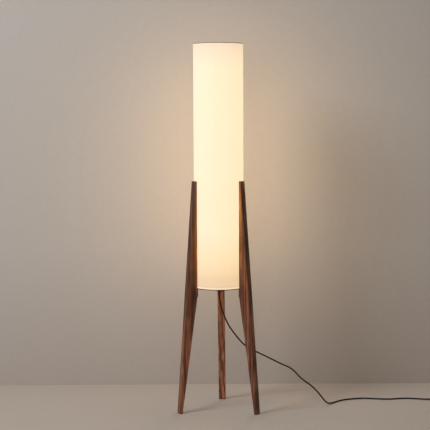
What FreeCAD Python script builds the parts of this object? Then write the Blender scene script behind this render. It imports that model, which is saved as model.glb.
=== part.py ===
import FreeCAD, Part
import math
import os
import re

import Sketcher

# Column floor lamp: a tall cylinder of fabric on a flat steel frame, held by three walnut legs.
# The column's axis is the Z axis, the floor is z = 0 and the rear leg stands towards +Y.
# All lengths are in millimetres.

V = FreeCAD.Vector
UP = V(0, 0, 1)
os.makedirs("parts", exist_ok=True)
doc = FreeCAD.newDocument("ColumnFloorLamp")

# ---------------------------------------------------------------- driving dimensions
SIZES = {
    # shade
    "shade_radius": 100,
    "fabric_thick": 0.8,
    "liner_thick": 1.0,
    "hem_width": 5,
    "hem_thick": 0.4,
    "wire_radius": 1.5,
    "wire_inset": 0.8,
    "spider_radius": 12,
    "spider_thick": 3,
    "spider_angle": 30,
    # frame under the shade
    "frame_bottom": 497.6,
    "frame_thick": 3,
    "rim_inset": 1,
    "rim_width": 12,
    "arm_width": 14,
    "hub_radius": 54,
    "tab_width": 24,
    "tab_drop": 30.6,
    # legs
    "leg_gap": 3.6,
    "leg_thick": 28.2,
    "leg_top": 929,
    "leg_top_depth": 10.1,
    "foot_reach": 183.8,
    "foot_depth": 11.7,
    "leg_round": 1.5,
    "glide_thick": 3,
    "glide_inset": 0.6,
    # leg fasteners
    "bolt_radius": 3,
    "bolt_length": 16,
    "bolt_head_radius": 5.25,
    "bolt_head_height": 3.3,
    "bolt_rise": 8,
    "bolt_spacing": 14,
    "insert_radius": 4.4,
    "insert_length": 12,
    "insert_bore_depth": 15,
    # gland and wiring box on the hub
    "gland_radius": 5,
    "gland_collar_radius": 8,
    "gland_collar_height": 2.6,
    "gland_tip_radius": 4.1,
    "gland_tip_length": 24,
    "nut_flats": 16,
    "nut_height": 5,
    "case_long": 60,
    "case_front": 24,
    "case_back": 20,
    "case_height": 28,
    "case_wall": 2,
    "case_screw_reach": 24.5,
    "case_post_radius": 3.6,
    "case_screw_length": 12,
    "block_long": 30,
    "block_deep": 11,
    "block_tall": 14,
    "lamp_wire_radius": 1.2,
    "lamp_wire_spread": 3,
    "lamp_wire_front": 12.2,
    # lamp tube and its sockets
    "tube_length": 894.6,
    "glass_radius": 12.8,
    "glass_wall": 0.8,
    "cap_radius": 13.4,
    "cap_length": 17,
    "cap_end": 2,
    "contact_pin_radius": 1.175,
    "contact_pin_length": 7.1,
    "contact_pin_spacing": 12.7,
    "strip_width": 10,
    "strip_thick": 1.2,
    "tube_play": 0.5,
    "socket_radius": 14,
    "socket_thick": 18,
    "socket_lift": 0.9,
    "recess_radius": 9.5,
    "recess_depth": 8,
    "rotor_thick": 7,
    "socket_screw_spread": 7,
    "socket_screw_rise": 5,
    "socket_screw_length": 9,
    "contact_long": 6,
    "contact_wide": 3,
    "contact_thick": 0.8,
    # spine behind the lamp tube
    "spine_front": 22,
    "spine_wide": 24,
    "spine_deep": 12,
    "spine_wall": 1.5,
    "bracket_thick": 3,
    "foot_bracket_rise": 40,
    "foot_bracket_back": 18,
    "top_bracket_drop": 24,
    "pin_radius": 4,
    "pin_height": 7.5,
    "pin_proud": 0.5,
    "small_screw_radius": 2,
    "small_head_radius": 3.6,
    "small_head_height": 2.4,
    "small_screw_length": 6,
    "thin_screw_radius": 1.5,
    "thin_head_radius": 2.8,
    "thin_head_height": 2,
    # cord, foot switch, coil and plug
    "cord_radius": 3,
    "switch_long": 60,
    "switch_wide": 40,
    "switch_corner": 12,
    "switch_base_height": 8,
    "switch_cover_height": 12,
    "switch_wall": 2,
    "switch_x": 936,
    "cord_end_y": 188,
    "cord_entry": 4.2,
    "relief_length": 20,
    "relief_radius": 4.2,
    "relief_tip_radius": 3.4,
    "switch_screw_reach": 22,
    "switch_boss_radius": 4.5,
    "button_radius": 13.2,
    "button_rest": 1,
    "button_round": 1.5,
    "cover_round": 4,
    "button_flange": 1.8,
    "button_flange_thick": 2,
    "button_travel": 3,
    "unit_long": 24,
    "unit_wide": 14,
    "unit_tall": 6.6,
    "spring_radius": 6,
    "spring_wire": 1,
    "coil_x": 1010,
    "coil_turn_radius": 33,
    "coil_pitch": 8,
    "coil_layer_pitch": 6.5,
    "coil_half_turns": 8,
    "tail_drop_length": 30,
    "tie_width": 10,
    "tie_thick": 0.8,
    "tie_slack": 1.5,
    "plug_pin_tip": 1.5,
    "plug_long": 36,
    "plug_wide": 35.2,
    "plug_neck": 15,
    "plug_shoulder": 14,
    "plug_thick": 14,
    "plug_round": 3,
    "plug_relief_length": 24,
    "plug_relief_radius": 5.2,
    "plug_pin_radius": 2,
    "plug_pin_length": 19,
    "plug_pin_spacing": 18.6,
    # clearances
    "seat_gap": 0.3,
    "run_gap": 0.3,
    "fit_gap": 0.1,
    "legs": 3,
}

# Places worked out from the driving dimensions, one formula each.
PLACES = {
    "frame_top": "frame_bottom + frame_thick",
    "rim_outer": "shade_radius - rim_inset",
    "rim_inner": "rim_outer - rim_width",
    "leg_inner": "shade_radius + leg_gap",
    "tab_inner": "leg_inner - frame_thick",
    "tab_bottom": "frame_bottom - tab_drop",
    "arm_half": "arm_width / 2",
    "leg_top_outer": "leg_inner + leg_top_depth",
    "foot_inner": "foot_reach - foot_depth",
    "leg_half": "leg_thick / 2",
    "glide_inner": "foot_inner + glide_inset",
    "glide_outer": "foot_reach - glide_inset",
    "glide_half": "leg_half - glide_inset",
    "bolt_low": "tab_bottom + bolt_rise",
    "bolt_high": "bolt_low + bolt_spacing",
    "bolt_hole": "bolt_radius + run_gap",
    "bolt_thread": "bolt_radius + fit_gap",
    "insert_hole": "insert_radius + fit_gap / 2",
    "bolt_head_inner": "tab_inner - bolt_head_height",
    "shade_bottom": "frame_top + seat_gap",
    "shade_top": "top_wire + wire_radius + wire_inset",
    "shade_height": "shade_top - shade_bottom",
    "liner_outer": "shade_radius - fabric_thick",
    "liner_inner": "liner_outer - liner_thick",
    "hem_outer": "shade_radius + hem_thick",
    "wire_ring": "liner_inner - fit_gap - wire_radius",
    "top_wire": "bracket_top + pin_height - pin_proud - spider_thick / 2",
    "bottom_wire": "shade_bottom + wire_radius",
    "spider_arm_end": "wire_ring - wire_radius - fit_gap",
    "spider_arm_start": "pin_radius + run_gap + wire_radius",
    "gland_hole": "gland_radius + fit_gap",
    "gland_bore": "cord_radius + run_gap",
    "gland_root": "gland_radius + 1",
    "gland_neck": "nut_top + fit_gap - frame_bottom",
    "gland_collar_bottom": "frame_bottom - gland_collar_height",
    "cord_exit": "gland_collar_bottom - gland_tip_length",
    "case_floor": "frame_top + case_wall",
    "case_top": "frame_top + case_height",
    "lid_top": "case_top + case_wall",
    "nut_top": "case_floor + nut_height",
    "case_deep": "case_front + case_back",
    "block_front": "case_front - case_wall - fit_gap",
    "block_top": "case_floor + block_tall",
    "lower_face": "lid_top + socket_lift + socket_thick",
    "tube_bottom": "lower_face + tube_play",
    "tube_top": "tube_bottom + tube_length",
    "upper_face": "tube_top + tube_play",
    "spine_top": "upper_face + socket_thick",
    "spine_back": "spine_front + spine_deep",
    "bracket_back": "spine_back + bracket_thick",
    "foot_screw_back": "spine_back + foot_bracket_back * 2 / 3",
    "foot_screw_side": "spine_wide / 4",
    "foot_screw_low": "frame_top + foot_bracket_rise / 3",
    "foot_screw_high": "frame_top + foot_bracket_rise * 3 / 4",
    "top_screw_level": "spine_top - top_bracket_drop / 2",
    "spine_half": "spine_wide / 2",
    "spine_tall": "spine_top - frame_top",
    "rotor_radius": "recess_radius - run_gap",
    "rotor_low": "-(recess_depth - run_gap)",
    "socket_front": "socket_radius + 1",
    "socket_screw_level": "socket_thick - socket_screw_rise",
    "contact_half": "contact_long / 2 + fit_gap",
    "contact_left": "-(contact_pin_spacing + contact_wide) / 2 - fit_gap",
    "contact_left_end": "(contact_wide - contact_pin_spacing) / 2 + fit_gap",
    "contact_right": "(contact_pin_spacing - contact_wide) / 2 - fit_gap",
    "contact_right_end": "(contact_pin_spacing + contact_wide) / 2 + fit_gap",
    "glass_length": "tube_length - 2 * cap_end - 2 * fit_gap",
    "glass_bore": "glass_radius - glass_wall",
    "strip_front": "sqrt(glass_bore ^ 2 - strip_width ^ 2 / 4) - strip_thick - fit_gap",
    "slot_half": "contact_pin_radius + run_gap",
    "slot_end": "contact_pin_spacing / 2 + contact_pin_radius + 2 * run_gap",
    "small_hole": "small_screw_radius + fit_gap",
    "thin_hole": "thin_screw_radius + fit_gap",
    "bracket_top": "spine_top + bracket_thick",
    "cord_width": "2 * cord_radius",
    "switch_half": "switch_long / 2",
    "switch_top": "switch_base_height + switch_cover_height",
    "button_hole": "button_radius + run_gap",
    "cover_roof": "switch_top - switch_wall",
    "flange_top": "cover_roof - run_gap",
    "flange_bottom": "flange_top - button_flange_thick",
    "flange_radius": "button_radius + button_flange",
    "button_top": "switch_top + button_travel + button_rest",
    "head_hole": "thin_head_radius + run_gap",
    "head_sink": "thin_head_height + 1",
    "switch_side": "switch_wide / 2",
    "bore_high": "switch_cover_height - 2 * switch_wall",
    "route_end": "switch_x - switch_half - relief_length",
    "coil_start": "switch_x + switch_half + relief_length",
    "unit_top": "switch_wall + unit_tall",
    "coil_outer": "coil_turn_radius + coil_half_turns / 8 * coil_pitch",
    "coil_inner": "coil_turn_radius - coil_half_turns / 8 * coil_pitch",
    "coil_y": "cord_end_y - coil_outer",
    "coil_end": "coil_outer - coil_pitch / 4",
    "tail_end": "coil_y - 2 * cord_width - tail_drop_length",
    "plug_x": "coil_x + coil_end",
    "plug_back": "tail_end - plug_relief_length",
    "plug_front": "plug_back - plug_long",
    "plug_half": "plug_wide / 2",
    "plug_neck_half": "plug_neck / 2",
    "plug_level": "plug_thick / 2",
    "coil_top": "cord_entry + coil_layer_pitch",
    "tie_low": "cord_entry - cord_radius - run_gap - tie_thick",
    "tie_far": "coil_outer - 3 / 4 * coil_pitch + cord_radius + tie_slack",
    "tie_near": "coil_inner + coil_pitch / 4 - cord_radius - tie_slack",
    "tie_rise": "coil_layer_pitch + cord_width + 2 * run_gap",
}

sizes = doc.addObject("Spreadsheet::Sheet", "Sizes")
places = doc.addObject("Spreadsheet::Sheet", "Places")
WORD = re.compile(r"[a-z][a-z_]*")


def linked(text, home=None):
    """The text as an expression: each named size or place is prefixed with its sheet."""

    def named(match):
        word = match.group()
        if word in SIZES:
            return "Sizes." + word
        if word in PLACES and home != "Places":
            return "Places." + word
        return word

    return WORD.sub(named, str(text))


for row, (alias, amount) in enumerate(SIZES.items(), start=1):
    sizes.set(f"A{row}", alias)
    sizes.set(f"B{row}", str(amount))
    sizes.setAlias(f"B{row}", alias)
doc.recompute()
for row, alias in enumerate(PLACES, start=1):
    places.set(f"A{row}", alias)
    places.setAlias(f"B{row}", alias)
for row, formula in enumerate(PLACES.values(), start=1):
    places.set(f"B{row}", "=" + linked(formula, "Places"))
doc.recompute()


def number(text):
    """The value of a size, a place, a signed one or a plain number."""
    text = str(text).strip()
    sign = -1.0 if text.startswith("-") else 1.0
    word = text.lstrip("-")
    if word in SIZES:
        return sign * float(sizes.get(word))
    if word in PLACES:
        return sign * float(places.get(word))
    return sign * float(word)


def bind(obj, **texts):
    for name, text in texts.items():
        obj.setExpression(name, linked(text))


def put(obj, x=0, y=0, z=0, turn=0, axis=UP):
    """Places an object at (x, y, z), turned about an axis through its own origin."""
    obj.Placement = FreeCAD.Placement(V(0, 0, 0), FreeCAD.Rotation(axis, turn))
    for letter, text in zip("xyz", (x, y, z)):
        obj.setExpression("Placement.Base." + letter, linked(text))
    return obj


# ---------------------------------------------------------------- primitives and booleans
def box(name, long, deep, tall, x=0, y=0, z=0):
    made = doc.addObject("Part::Box", name)
    bind(made, Length=long, Width=deep, Height=tall)
    return put(made, x, y, z)


def rod(name, radius, length, x=0, y=0, z=0, turn=0, axis=UP):
    made = doc.addObject("Part::Cylinder", name)
    bind(made, Radius=radius, Height=length)
    return put(made, x, y, z, turn, axis)


def cone(name, radius, tip, length, x=0, y=0, z=0, turn=0, axis=UP):
    made = doc.addObject("Part::Cone", name)
    bind(made, Radius1=radius, Radius2=tip, Height=length)
    return put(made, x, y, z, turn, axis)


def cut(name, solid, tool):
    made = doc.addObject("Part::Cut", name)
    made.Base = solid
    made.Tool = tool
    return made


def fuse(name, solids):
    made = doc.addObject("Part::MultiFuse", name)
    made.Shapes = solids
    made.Refine = True
    return made


def sleeve(name, radius, bore, length, x=0, y=0, z=0):
    """A round tube standing on z, with its bore cut right through."""
    outer = rod(name + "_outer", radius, length, x, y, z)
    inner = rod(name + "_inner", bore, length, x, y, z)
    return cut(name, outer, inner)


# ---------------------------------------------------------------- sketched bodies
def new_body(name):
    body = doc.addObject("PartDesign::Body", name)
    body.AllowCompound = True
    return body


def sketch_on(body, plane, offset=0):
    """An empty sketch on one of the body's own origin planes, moved along the plane's normal."""
    sketch = body.newObject("Sketcher::SketchObject", body.Name + "_sketch")
    support = [f for f in body.Origin.OriginFeatures if f.Role == plane][0]
    sketch.AttachmentSupport = [(support, "")]
    sketch.MapMode = "FlatFace"
    sketch.setExpression("AttachmentOffset.Base.z", linked(offset))
    return sketch


def outline(body, plane, corners, offset=0):
    """A closed outline of straight lines, each corner held by its two coordinates."""
    sketch = sketch_on(body, plane, offset)
    spots = [V(number(u), number(v), 0) for u, v in corners]
    for i, spot in enumerate(spots):
        sketch.addGeometry(Part.LineSegment(spot, spots[(i + 1) % len(spots)]), False)
    for i in range(len(spots)):
        sketch.addConstraint(Sketcher.Constraint("Coincident", i, 2, (i + 1) % len(spots), 1))
    for i, corner in enumerate(corners):
        for kind, text in zip(("DistanceX", "DistanceY"), corner):
            held = sketch.addConstraint(Sketcher.Constraint(kind, i, 1, number(text)))
            sketch.setExpression(f"Constraints[{held}]", linked(text))
    return sketch


def rounds(body, plane, circles, offset=0):
    """Circles given as (u, v, radius)."""
    sketch = sketch_on(body, plane, offset)
    for i, (u, v, radius) in enumerate(circles):
        sketch.addGeometry(Part.Circle(V(number(u), number(v), 0), V(0, 0, 1), number(radius)), False)
        for kind, text in (("DistanceX", u), ("DistanceY", v)):
            held = sketch.addConstraint(Sketcher.Constraint(kind, i, 3, number(text)))
            sketch.setExpression(f"Constraints[{held}]", linked(text))
        held = sketch.addConstraint(Sketcher.Constraint("Radius", i, number(radius)))
        sketch.setExpression(f"Constraints[{held}]", linked(radius))
    return sketch


def add_feature(body, kind, sketch, length, midplane=False, reverse=False):
    made = body.newObject("PartDesign::" + kind, body.Name + "_" + kind.lower())
    made.Profile = sketch
    made.Midplane = midplane
    made.Reversed = reverse
    bind(made, Length=length)
    doc.recompute()
    return made


def pad(body, sketch, length, midplane=False, reverse=False):
    return add_feature(body, "Pad", sketch, length, midplane, reverse)


def pocket(body, sketch, length, midplane=False, reverse=False):
    """A pocket, which has to take material away."""
    before = body.Shape.Volume
    made = add_feature(body, "Pocket", sketch, length, midplane, reverse)
    if not made.Shape.Volume < before - 1e-3:
        raise RuntimeError(f"{made.Name} cuts nothing")
    return made


def around_legs(body, features):
    """Repeats features about the body's Z axis, once for each leg."""
    pattern = body.newObject("PartDesign::PolarPattern", body.Name + "_pattern")
    pattern.Originals = features
    pattern.Axis = ([f for f in body.Origin.OriginFeatures if f.Role == "Z_Axis"][0], [""])
    pattern.Angle = 360
    bind(pattern, Occurrences="legs")
    body.Tip = pattern
    doc.recompute()
    return pattern


def round_edges(body, radius, wanted):
    """Fillets the edges of the body's last feature that wanted(edge) picks."""
    base = body.Tip
    names = [f"Edge{i}" for i, edge in enumerate(base.Shape.Edges, start=1) if wanted(edge)]
    made = body.newObject("PartDesign::Fillet", body.Name + "_fillet")
    made.Base = (base, names)
    bind(made, Radius=radius)
    doc.recompute()
    return made


def heights(edge):
    return [vertex.Point.z for vertex in edge.Vertexes]


def upright(edge):
    ends = [vertex.Point for vertex in edge.Vertexes]
    return len(ends) == 2 and math.hypot(ends[0].x - ends[1].x, ends[0].y - ends[1].y) < 1e-6


def hollow(body, wall, level):
    """Hollows the body's last feature to a wall, leaving its flat face at the level open."""
    base = body.Tip
    open_faces = []
    for i, face in enumerate(base.Shape.Faces, start=1):
        low, high = face.BoundBox.ZMin, face.BoundBox.ZMax
        if abs(low - level) + abs(high - level) < 1e-4:
            open_faces.append(f"Face{i}")
    made = body.newObject("PartDesign::Thickness", body.Name + "_hollow")
    made.Base = (base, open_faces)
    made.Reversed = True
    bind(made, Value=wall)
    doc.recompute()
    if not made.Shape.Volume < 0.8 * base.Shape.Volume:
        raise RuntimeError(f"{made.Name} stays solid")
    return made


SUBPARTS = {}


def subpart(node, made):
    made.Label = node
    SUBPARTS[node] = made
    return made


REAR = 90  # direction of the rear leg about Z, from +X


# ---------------------------------------------------------------- legs and what is in them
def leg(node, place):
    """A walnut fin: straight outer edge, inner edge upright beside the shade and then raked."""
    body = new_body(node)
    side = outline(
        body,
        "XZ_Plane",
        [
            ("leg_inner", "leg_top"),
            ("leg_inner", "tab_bottom"),
            ("foot_inner", "glide_thick"),
            ("foot_reach", "glide_thick"),
            ("leg_top_outer", "leg_top"),
        ],
    )
    pad(body, side, "leg_thick", midplane=True)
    half = number("leg_half")
    foot = number("glide_thick")

    def long_edge(edge):
        level = [abs(abs(vertex.Point.y) - half) < 1e-6 for vertex in edge.Vertexes]
        return all(level) and max(heights(edge)) > foot + 1e-6

    round_edges(body, "leg_round", long_edge)
    bores = rounds(
        body,
        "YZ_Plane",
        [(0, "bolt_low", "insert_hole"), (0, "bolt_high", "insert_hole")],
        offset="leg_inner",
    )
    pocket(body, bores, "insert_bore_depth", reverse=True)
    return subpart(node, put(body, turn=REAR + place * 360 / number("legs")))


def foot_glides():
    body = new_body("foot_glides")
    sole = outline(
        body,
        "XY_Plane",
        [
            ("glide_inner", "-glide_half"),
            ("glide_outer", "-glide_half"),
            ("glide_outer", "glide_half"),
            ("glide_inner", "glide_half"),
        ],
    )
    around_legs(body, [pad(body, sole, "glide_thick")])
    return subpart("foot_glides", put(body, turn=REAR))


def leg_inserts():
    body = new_body("leg_inserts")
    spots = ("bolt_low", "bolt_high")
    shells = [(0, spot, radius) for spot in spots for radius in ("insert_radius", "bolt_thread")]
    around_legs(body, [pad(body, rounds(body, "YZ_Plane", shells, "leg_inner"), "insert_length")])
    return subpart("leg_inserts", put(body, turn=REAR))


def leg_bolts():
    body = new_body("leg_bolts")
    spots = ("bolt_low", "bolt_high")
    heads = rounds(body, "YZ_Plane", [(0, s, "bolt_head_radius") for s in spots], "bolt_head_inner")
    shanks = rounds(body, "YZ_Plane", [(0, s, "bolt_radius") for s in spots], "tab_inner")
    made = [pad(body, heads, "bolt_head_height"), pad(body, shanks, "bolt_length")]
    around_legs(body, made)
    return subpart("leg_bolts", put(body, turn=REAR))


# ---------------------------------------------------------------- frame under the shade
def base_frame():
    """Flat steel rim, hub and three arms, with a tab turned down in front of each leg."""
    body = new_body("base_frame")
    rim = rounds(body, "XY_Plane", [(0, 0, "rim_outer"), (0, 0, "rim_inner")], "frame_bottom")
    pad(body, rim, "frame_thick")
    hub = rounds(body, "XY_Plane", [(0, 0, "hub_radius")], "frame_bottom")
    pad(body, hub, "frame_thick")
    arm = outline(
        body,
        "XY_Plane",
        [(0, "-arm_half"), ("tab_inner", "-arm_half"), ("tab_inner", "arm_half"), (0, "arm_half")],
        "frame_bottom",
    )
    tab = outline(
        body,
        "XZ_Plane",
        [
            ("rim_inner", "frame_bottom"),
            ("tab_inner", "frame_bottom"),
            ("tab_inner", "tab_bottom"),
            ("leg_inner", "tab_bottom"),
            ("leg_inner", "frame_top"),
            ("rim_inner", "frame_top"),
        ],
    )
    around_legs(body, [pad(body, arm, "frame_thick"), pad(body, tab, "tab_width", midplane=True)])
    holes = rounds(
        body,
        "YZ_Plane",
        [(0, "bolt_low", "bolt_hole"), (0, "bolt_high", "bolt_hole")],
        "tab_inner",
    )
    around_legs(body, [pocket(body, holes, "frame_thick", reverse=True)])
    middle = rounds(
        body,
        "XY_Plane",
        [
            (0, 0, "gland_hole"),
            ("foot_screw_back", "foot_screw_side", "small_hole"),
            ("foot_screw_back", "-foot_screw_side", "small_hole"),
        ],
        "frame_top",
    )
    pocket(body, middle, "frame_thick")
    return subpart("base_frame", put(body, turn=REAR))


# ---------------------------------------------------------------- gland
def cord_gland():
    """Collar, threaded neck and a tapered sleeve that keeps the cord from kinking."""
    solid = fuse(
        "gland_solid",
        [
            rod("gland_collar", "gland_collar_radius", "gland_collar_height", z="gland_collar_bottom"),
            rod("gland_stem", "gland_radius", "gland_neck", z="frame_bottom"),
            cone("gland_taper", "gland_tip_radius", "gland_root", "gland_tip_length", z="cord_exit"),
        ],
    )
    way = rod("gland_way", "gland_bore", "nut_top + cord_width - cord_exit", z="cord_exit - cord_radius")
    return subpart("cord_gland", cut("cord_gland", solid, way))


def gland_nut():
    prism = doc.addObject("Part::Prism", "nut_prism")
    prism.Polygon = 6
    bind(prism, Circumradius="nut_flats / sqrt(3)", Height="nut_height")
    thread = rod("nut_thread", "gland_hole", "nut_height")
    return subpart("gland_nut", put(cut("gland_nut", prism, thread), z="case_floor"))


def lead_in():
    """The cord's own end, inside the gland and up into the terminal box."""
    made = rod("lead_in", "cord_radius", "nut_top + cord_radius - cord_exit", z="cord_exit")
    return subpart("lead_in", made)


# ---------------------------------------------------------------- terminal box on the hub
def terminal_box():
    left = "-case_long / 2"
    outer = box("case_outer", "case_long", "case_deep", "case_height", left, "-case_front")
    inner = box(
        "case_inner",
        "case_long - 2 * case_wall",
        "case_deep - 2 * case_wall",
        "case_height",
        left + " + case_wall",
        "case_wall - case_front",
        "case_wall",
    )
    posts = [
        rod(f"case_post_{side}", "case_post_radius", "case_height", x=f"{side} * case_screw_reach")
        for side in (-1, 1)
    ]
    holes = [rod("case_cord_hole", "gland_hole", "case_wall")]
    holes += [
        rod(
            f"case_screw_hole_{side}",
            "thin_hole",
            "case_screw_length + 1",
            x=f"{side} * case_screw_reach",
            z="case_height - case_screw_length - 1",
        )
        for side in (-1, 1)
    ]
    body = fuse("case_body", [cut("case_tray", outer, inner)] + posts)
    made = cut("terminal_box", body, fuse("case_holes", holes))
    return subpart("terminal_box", put(made, z="frame_top"))


def terminal_lid():
    plate = box("lid_plate", "case_long", "case_deep", "case_wall", "-case_long / 2", "-case_front")
    holes = []
    for side in (-1, 1):
        holes.append(rod(f"lid_screw_hole_{side}", "thin_hole", "case_wall", x=f"{side} * case_screw_reach"))
        holes.append(
            rod(
                f"lid_wire_hole_{side}",
                "lamp_wire_radius + run_gap",
                "case_wall",
                x=f"{side} * lamp_wire_spread",
                y="-lamp_wire_front",
            )
        )
    return subpart("terminal_lid", put(cut("terminal_lid", plate, fuse("lid_holes", holes)), z="case_top"))


def screw(name, radius, length, head_radius, head_height, x=0, y=0, z=0, turn=0, axis=UP):
    """A screw whose head stands on its own origin and whose shank points down from it."""
    shank = rod(name + "_shank", radius, length, z=f"-({length})")
    head = rod(name + "_head", head_radius, head_height)
    return put(fuse(name, [shank, head]), x, y, z, turn, axis)


def thin_screw(name, length, *place, **turned):
    return screw(name, "thin_screw_radius", length, "thin_head_radius", "thin_head_height", *place, **turned)


def small_screw(name, *place, **turned):
    sizes_of = ("small_screw_radius", "small_screw_length", "small_head_radius", "small_head_height")
    return screw(name, *sizes_of, *place, **turned)


def lid_screws():
    length = "case_wall + case_screw_length"
    made = [
        thin_screw(f"lid_screw_{side}", length, f"{side} * case_screw_reach", 0, "lid_top")
        for side in (-1, 1)
    ]
    return subpart("lid_screws", fuse("lid_screws", made))


def terminal_block():
    made = box("terminal_block", "block_long", "block_deep", "block_tall")
    return subpart("terminal_block", put(made, "-block_long / 2", "-block_front", "case_floor"))


def lamp_wires():
    made = [
        rod(
            f"lamp_wire_{side}",
            "lamp_wire_radius",
            "lower_face - socket_thick - block_top",
            f"{side} * lamp_wire_spread",
            "-lamp_wire_front",
            "block_top",
        )
        for side in (-1, 1)
    ]
    return subpart("lamp_wires", fuse("lamp_wires", made))


# ---------------------------------------------------------------- sockets of the lamp tube
TURNED_OVER = {"turn": 180, "axis": V(0, 1, 0)}


def socket(node, level, **turned):
    """Socket body: its face at z = 0 towards the tube, a round recess for the rotor, its back flat."""
    body = new_body(node)
    pad(body, rounds(body, "XY_Plane", [(0, 0, "socket_radius")]), "socket_thick", reverse=True)
    back = outline(
        body,
        "XY_Plane",
        [
            ("-socket_radius", 0),
            ("socket_radius", 0),
            ("socket_radius", "spine_front"),
            ("-socket_radius", "spine_front"),
        ],
    )
    pad(body, back, "socket_thick", reverse=True)
    pocket(body, rounds(body, "XY_Plane", [(0, 0, "recess_radius")]), "recess_depth")
    way_in = outline(
        body,
        "XY_Plane",
        [
            ("-slot_half", "-socket_front"),
            ("slot_half", "-socket_front"),
            ("slot_half", 0),
            ("-slot_half", 0),
        ],
    )
    pocket(body, way_in, "recess_depth")
    for side in ("contact_left", "contact_right"):
        seat = outline(
            body,
            "XY_Plane",
            [
                (side, "-contact_half"),
                (side + "_end", "-contact_half"),
                (side + "_end", "contact_half"),
                (side, "contact_half"),
            ],
            "-recess_depth",
        )
        pocket(body, seat, "contact_thick")
    holes = rounds(
        body,
        "XZ_Plane",
        [
            ("-socket_screw_spread", "-socket_screw_level", "thin_hole"),
            ("socket_screw_spread", "-socket_screw_level", "thin_hole"),
        ],
        "-spine_front",
    )
    pocket(body, holes, "socket_screw_length + run_gap", reverse=True)
    return subpart(node, put(body, z=level, **turned))


def rotor(node, level, closed_end, **turned):
    """The socket's turning disc: a slot for the two contact pins, open at one end of the disc."""
    body = new_body(node)
    pad(body, rounds(body, "XY_Plane", [(0, 0, "rotor_radius")], "rotor_low"), "rotor_thick")
    open_end = "-recess_radius" if closed_end == "slot_end" else "recess_radius"
    slot = outline(
        body,
        "XY_Plane",
        [
            (open_end, "-slot_half"),
            (closed_end, "-slot_half"),
            (closed_end, "slot_half"),
            (open_end, "slot_half"),
        ],
    )
    pocket(body, slot, "recess_depth")
    return subpart(node, put(body, z=level, **turned))


def holder_contacts():
    made = []
    for name, level in (
        ("low", "lower_face - recess_depth - contact_thick"),
        ("high", "upper_face + recess_depth"),
    ):
        for side in (-1, 1):
            made.append(
                box(
                    f"contact_{name}_{side}",
                    "contact_wide",
                    "contact_long",
                    "contact_thick",
                    f"{side} * contact_pin_spacing / 2 - contact_wide / 2",
                    "-contact_long / 2",
                    level,
                )
            )
    return subpart("holder_contacts", fuse("holder_contacts", made))


BACKWARDS = {"turn": -90, "axis": V(1, 0, 0)}  # a screw's head towards +Y, its shank towards -Y


def holder_screws():
    made = []
    for name, level in (
        ("low", "lower_face - socket_screw_level"),
        ("high", "upper_face + socket_screw_level"),
    ):
        for side in (-1, 1):
            made.append(
                thin_screw(
                    f"holder_screw_{name}_{side}",
                    "spine_wall + socket_screw_length",
                    f"{side} * socket_screw_spread",
                    "spine_front + spine_wall",
                    level,
                    **BACKWARDS,
                )
            )
    return subpart("holder_screws", fuse("holder_screws", made))


# ---------------------------------------------------------------- spine and its brackets
def spine():
    """Aluminium channel behind the lamp tube, open at both ends."""
    outer = box("spine_outer", "spine_wide", "spine_deep", "spine_tall", "-spine_half", "spine_front")
    inner = box(
        "spine_inner",
        "spine_wide - 2 * spine_wall",
        "spine_deep - 2 * spine_wall",
        "spine_tall",
        "spine_wall - spine_half",
        "spine_front + spine_wall",
    )
    channel = put(cut("spine_tube", outer, inner), z="frame_top")
    holes = []
    for name, level in (
        ("low", "lower_face - socket_screw_level"),
        ("high", "upper_face + socket_screw_level"),
    ):
        for side in (-1, 1):
            across = f"{side} * socket_screw_spread"
            front = "spine_front + spine_wall"
            name_here = f"spine_front_hole_{name}_{side}"
            holes.append(rod(name_here, "thin_hole", "spine_wall", across, front, level, 90, V(1, 0, 0)))
    for name, across, level in BACK_SCREWS:
        place = (across, "spine_back", level, 90, V(1, 0, 0))
        holes.append(rod(f"spine_back_hole_{name}", "small_hole", "spine_wall", *place))
    return subpart("spine", cut("spine", channel, fuse("spine_holes", holes)))


BACK_SCREWS = [
    ("foot_low", "0", "foot_screw_low"),
    ("foot_high", "0", "foot_screw_high"),
    ("top_left", "-foot_screw_side", "top_screw_level"),
    ("top_right", "foot_screw_side", "top_screw_level"),
]
HUB_SCREWS = [("left", "-foot_screw_side"), ("right", "foot_screw_side")]


def bracket_hole(name, across, level):
    place = (across, "bracket_back", level, 90, V(1, 0, 0))
    return rod(f"bracket_hole_{name}", "small_hole", "bracket_thick", *place)


def spine_foot():
    """Steel angle: one leaf on the back of the spine, the other on the hub."""
    corner = ("-spine_half", "spine_back", "frame_top")
    leaf = box("foot_leaf", "spine_wide", "bracket_thick", "foot_bracket_rise", *corner)
    flat = box("foot_flat", "spine_wide", "foot_bracket_back", "bracket_thick", *corner)
    holes = [bracket_hole(*each) for each in BACK_SCREWS[:2]]
    for name, across in HUB_SCREWS:
        place = (across, "foot_screw_back", "frame_top")
        holes.append(rod(f"foot_hole_{name}", "small_hole", "bracket_thick", *place))
    made = cut("spine_foot", fuse("foot_angle", [leaf, flat]), fuse("foot_holes", holes))
    return subpart("spine_foot", made)


def top_bracket():
    """Steel angle: one leaf on the spine and the upper socket, the other on the spine's back."""
    leaf = box(
        "top_leaf",
        "spine_wide",
        "spine_half + bracket_back",
        "bracket_thick",
        "-spine_half",
        "-spine_half",
        "spine_top",
    )
    flange = box(
        "top_flange",
        "spine_wide",
        "bracket_thick",
        "top_bracket_drop + bracket_thick",
        "-spine_half",
        "spine_back",
        "spine_top - top_bracket_drop",
    )
    holes = [bracket_hole(*each) for each in BACK_SCREWS[2:]]
    made = cut("top_bracket", fuse("top_angle", [leaf, flange]), fuse("top_holes", holes))
    return subpart("top_bracket", made)


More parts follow.
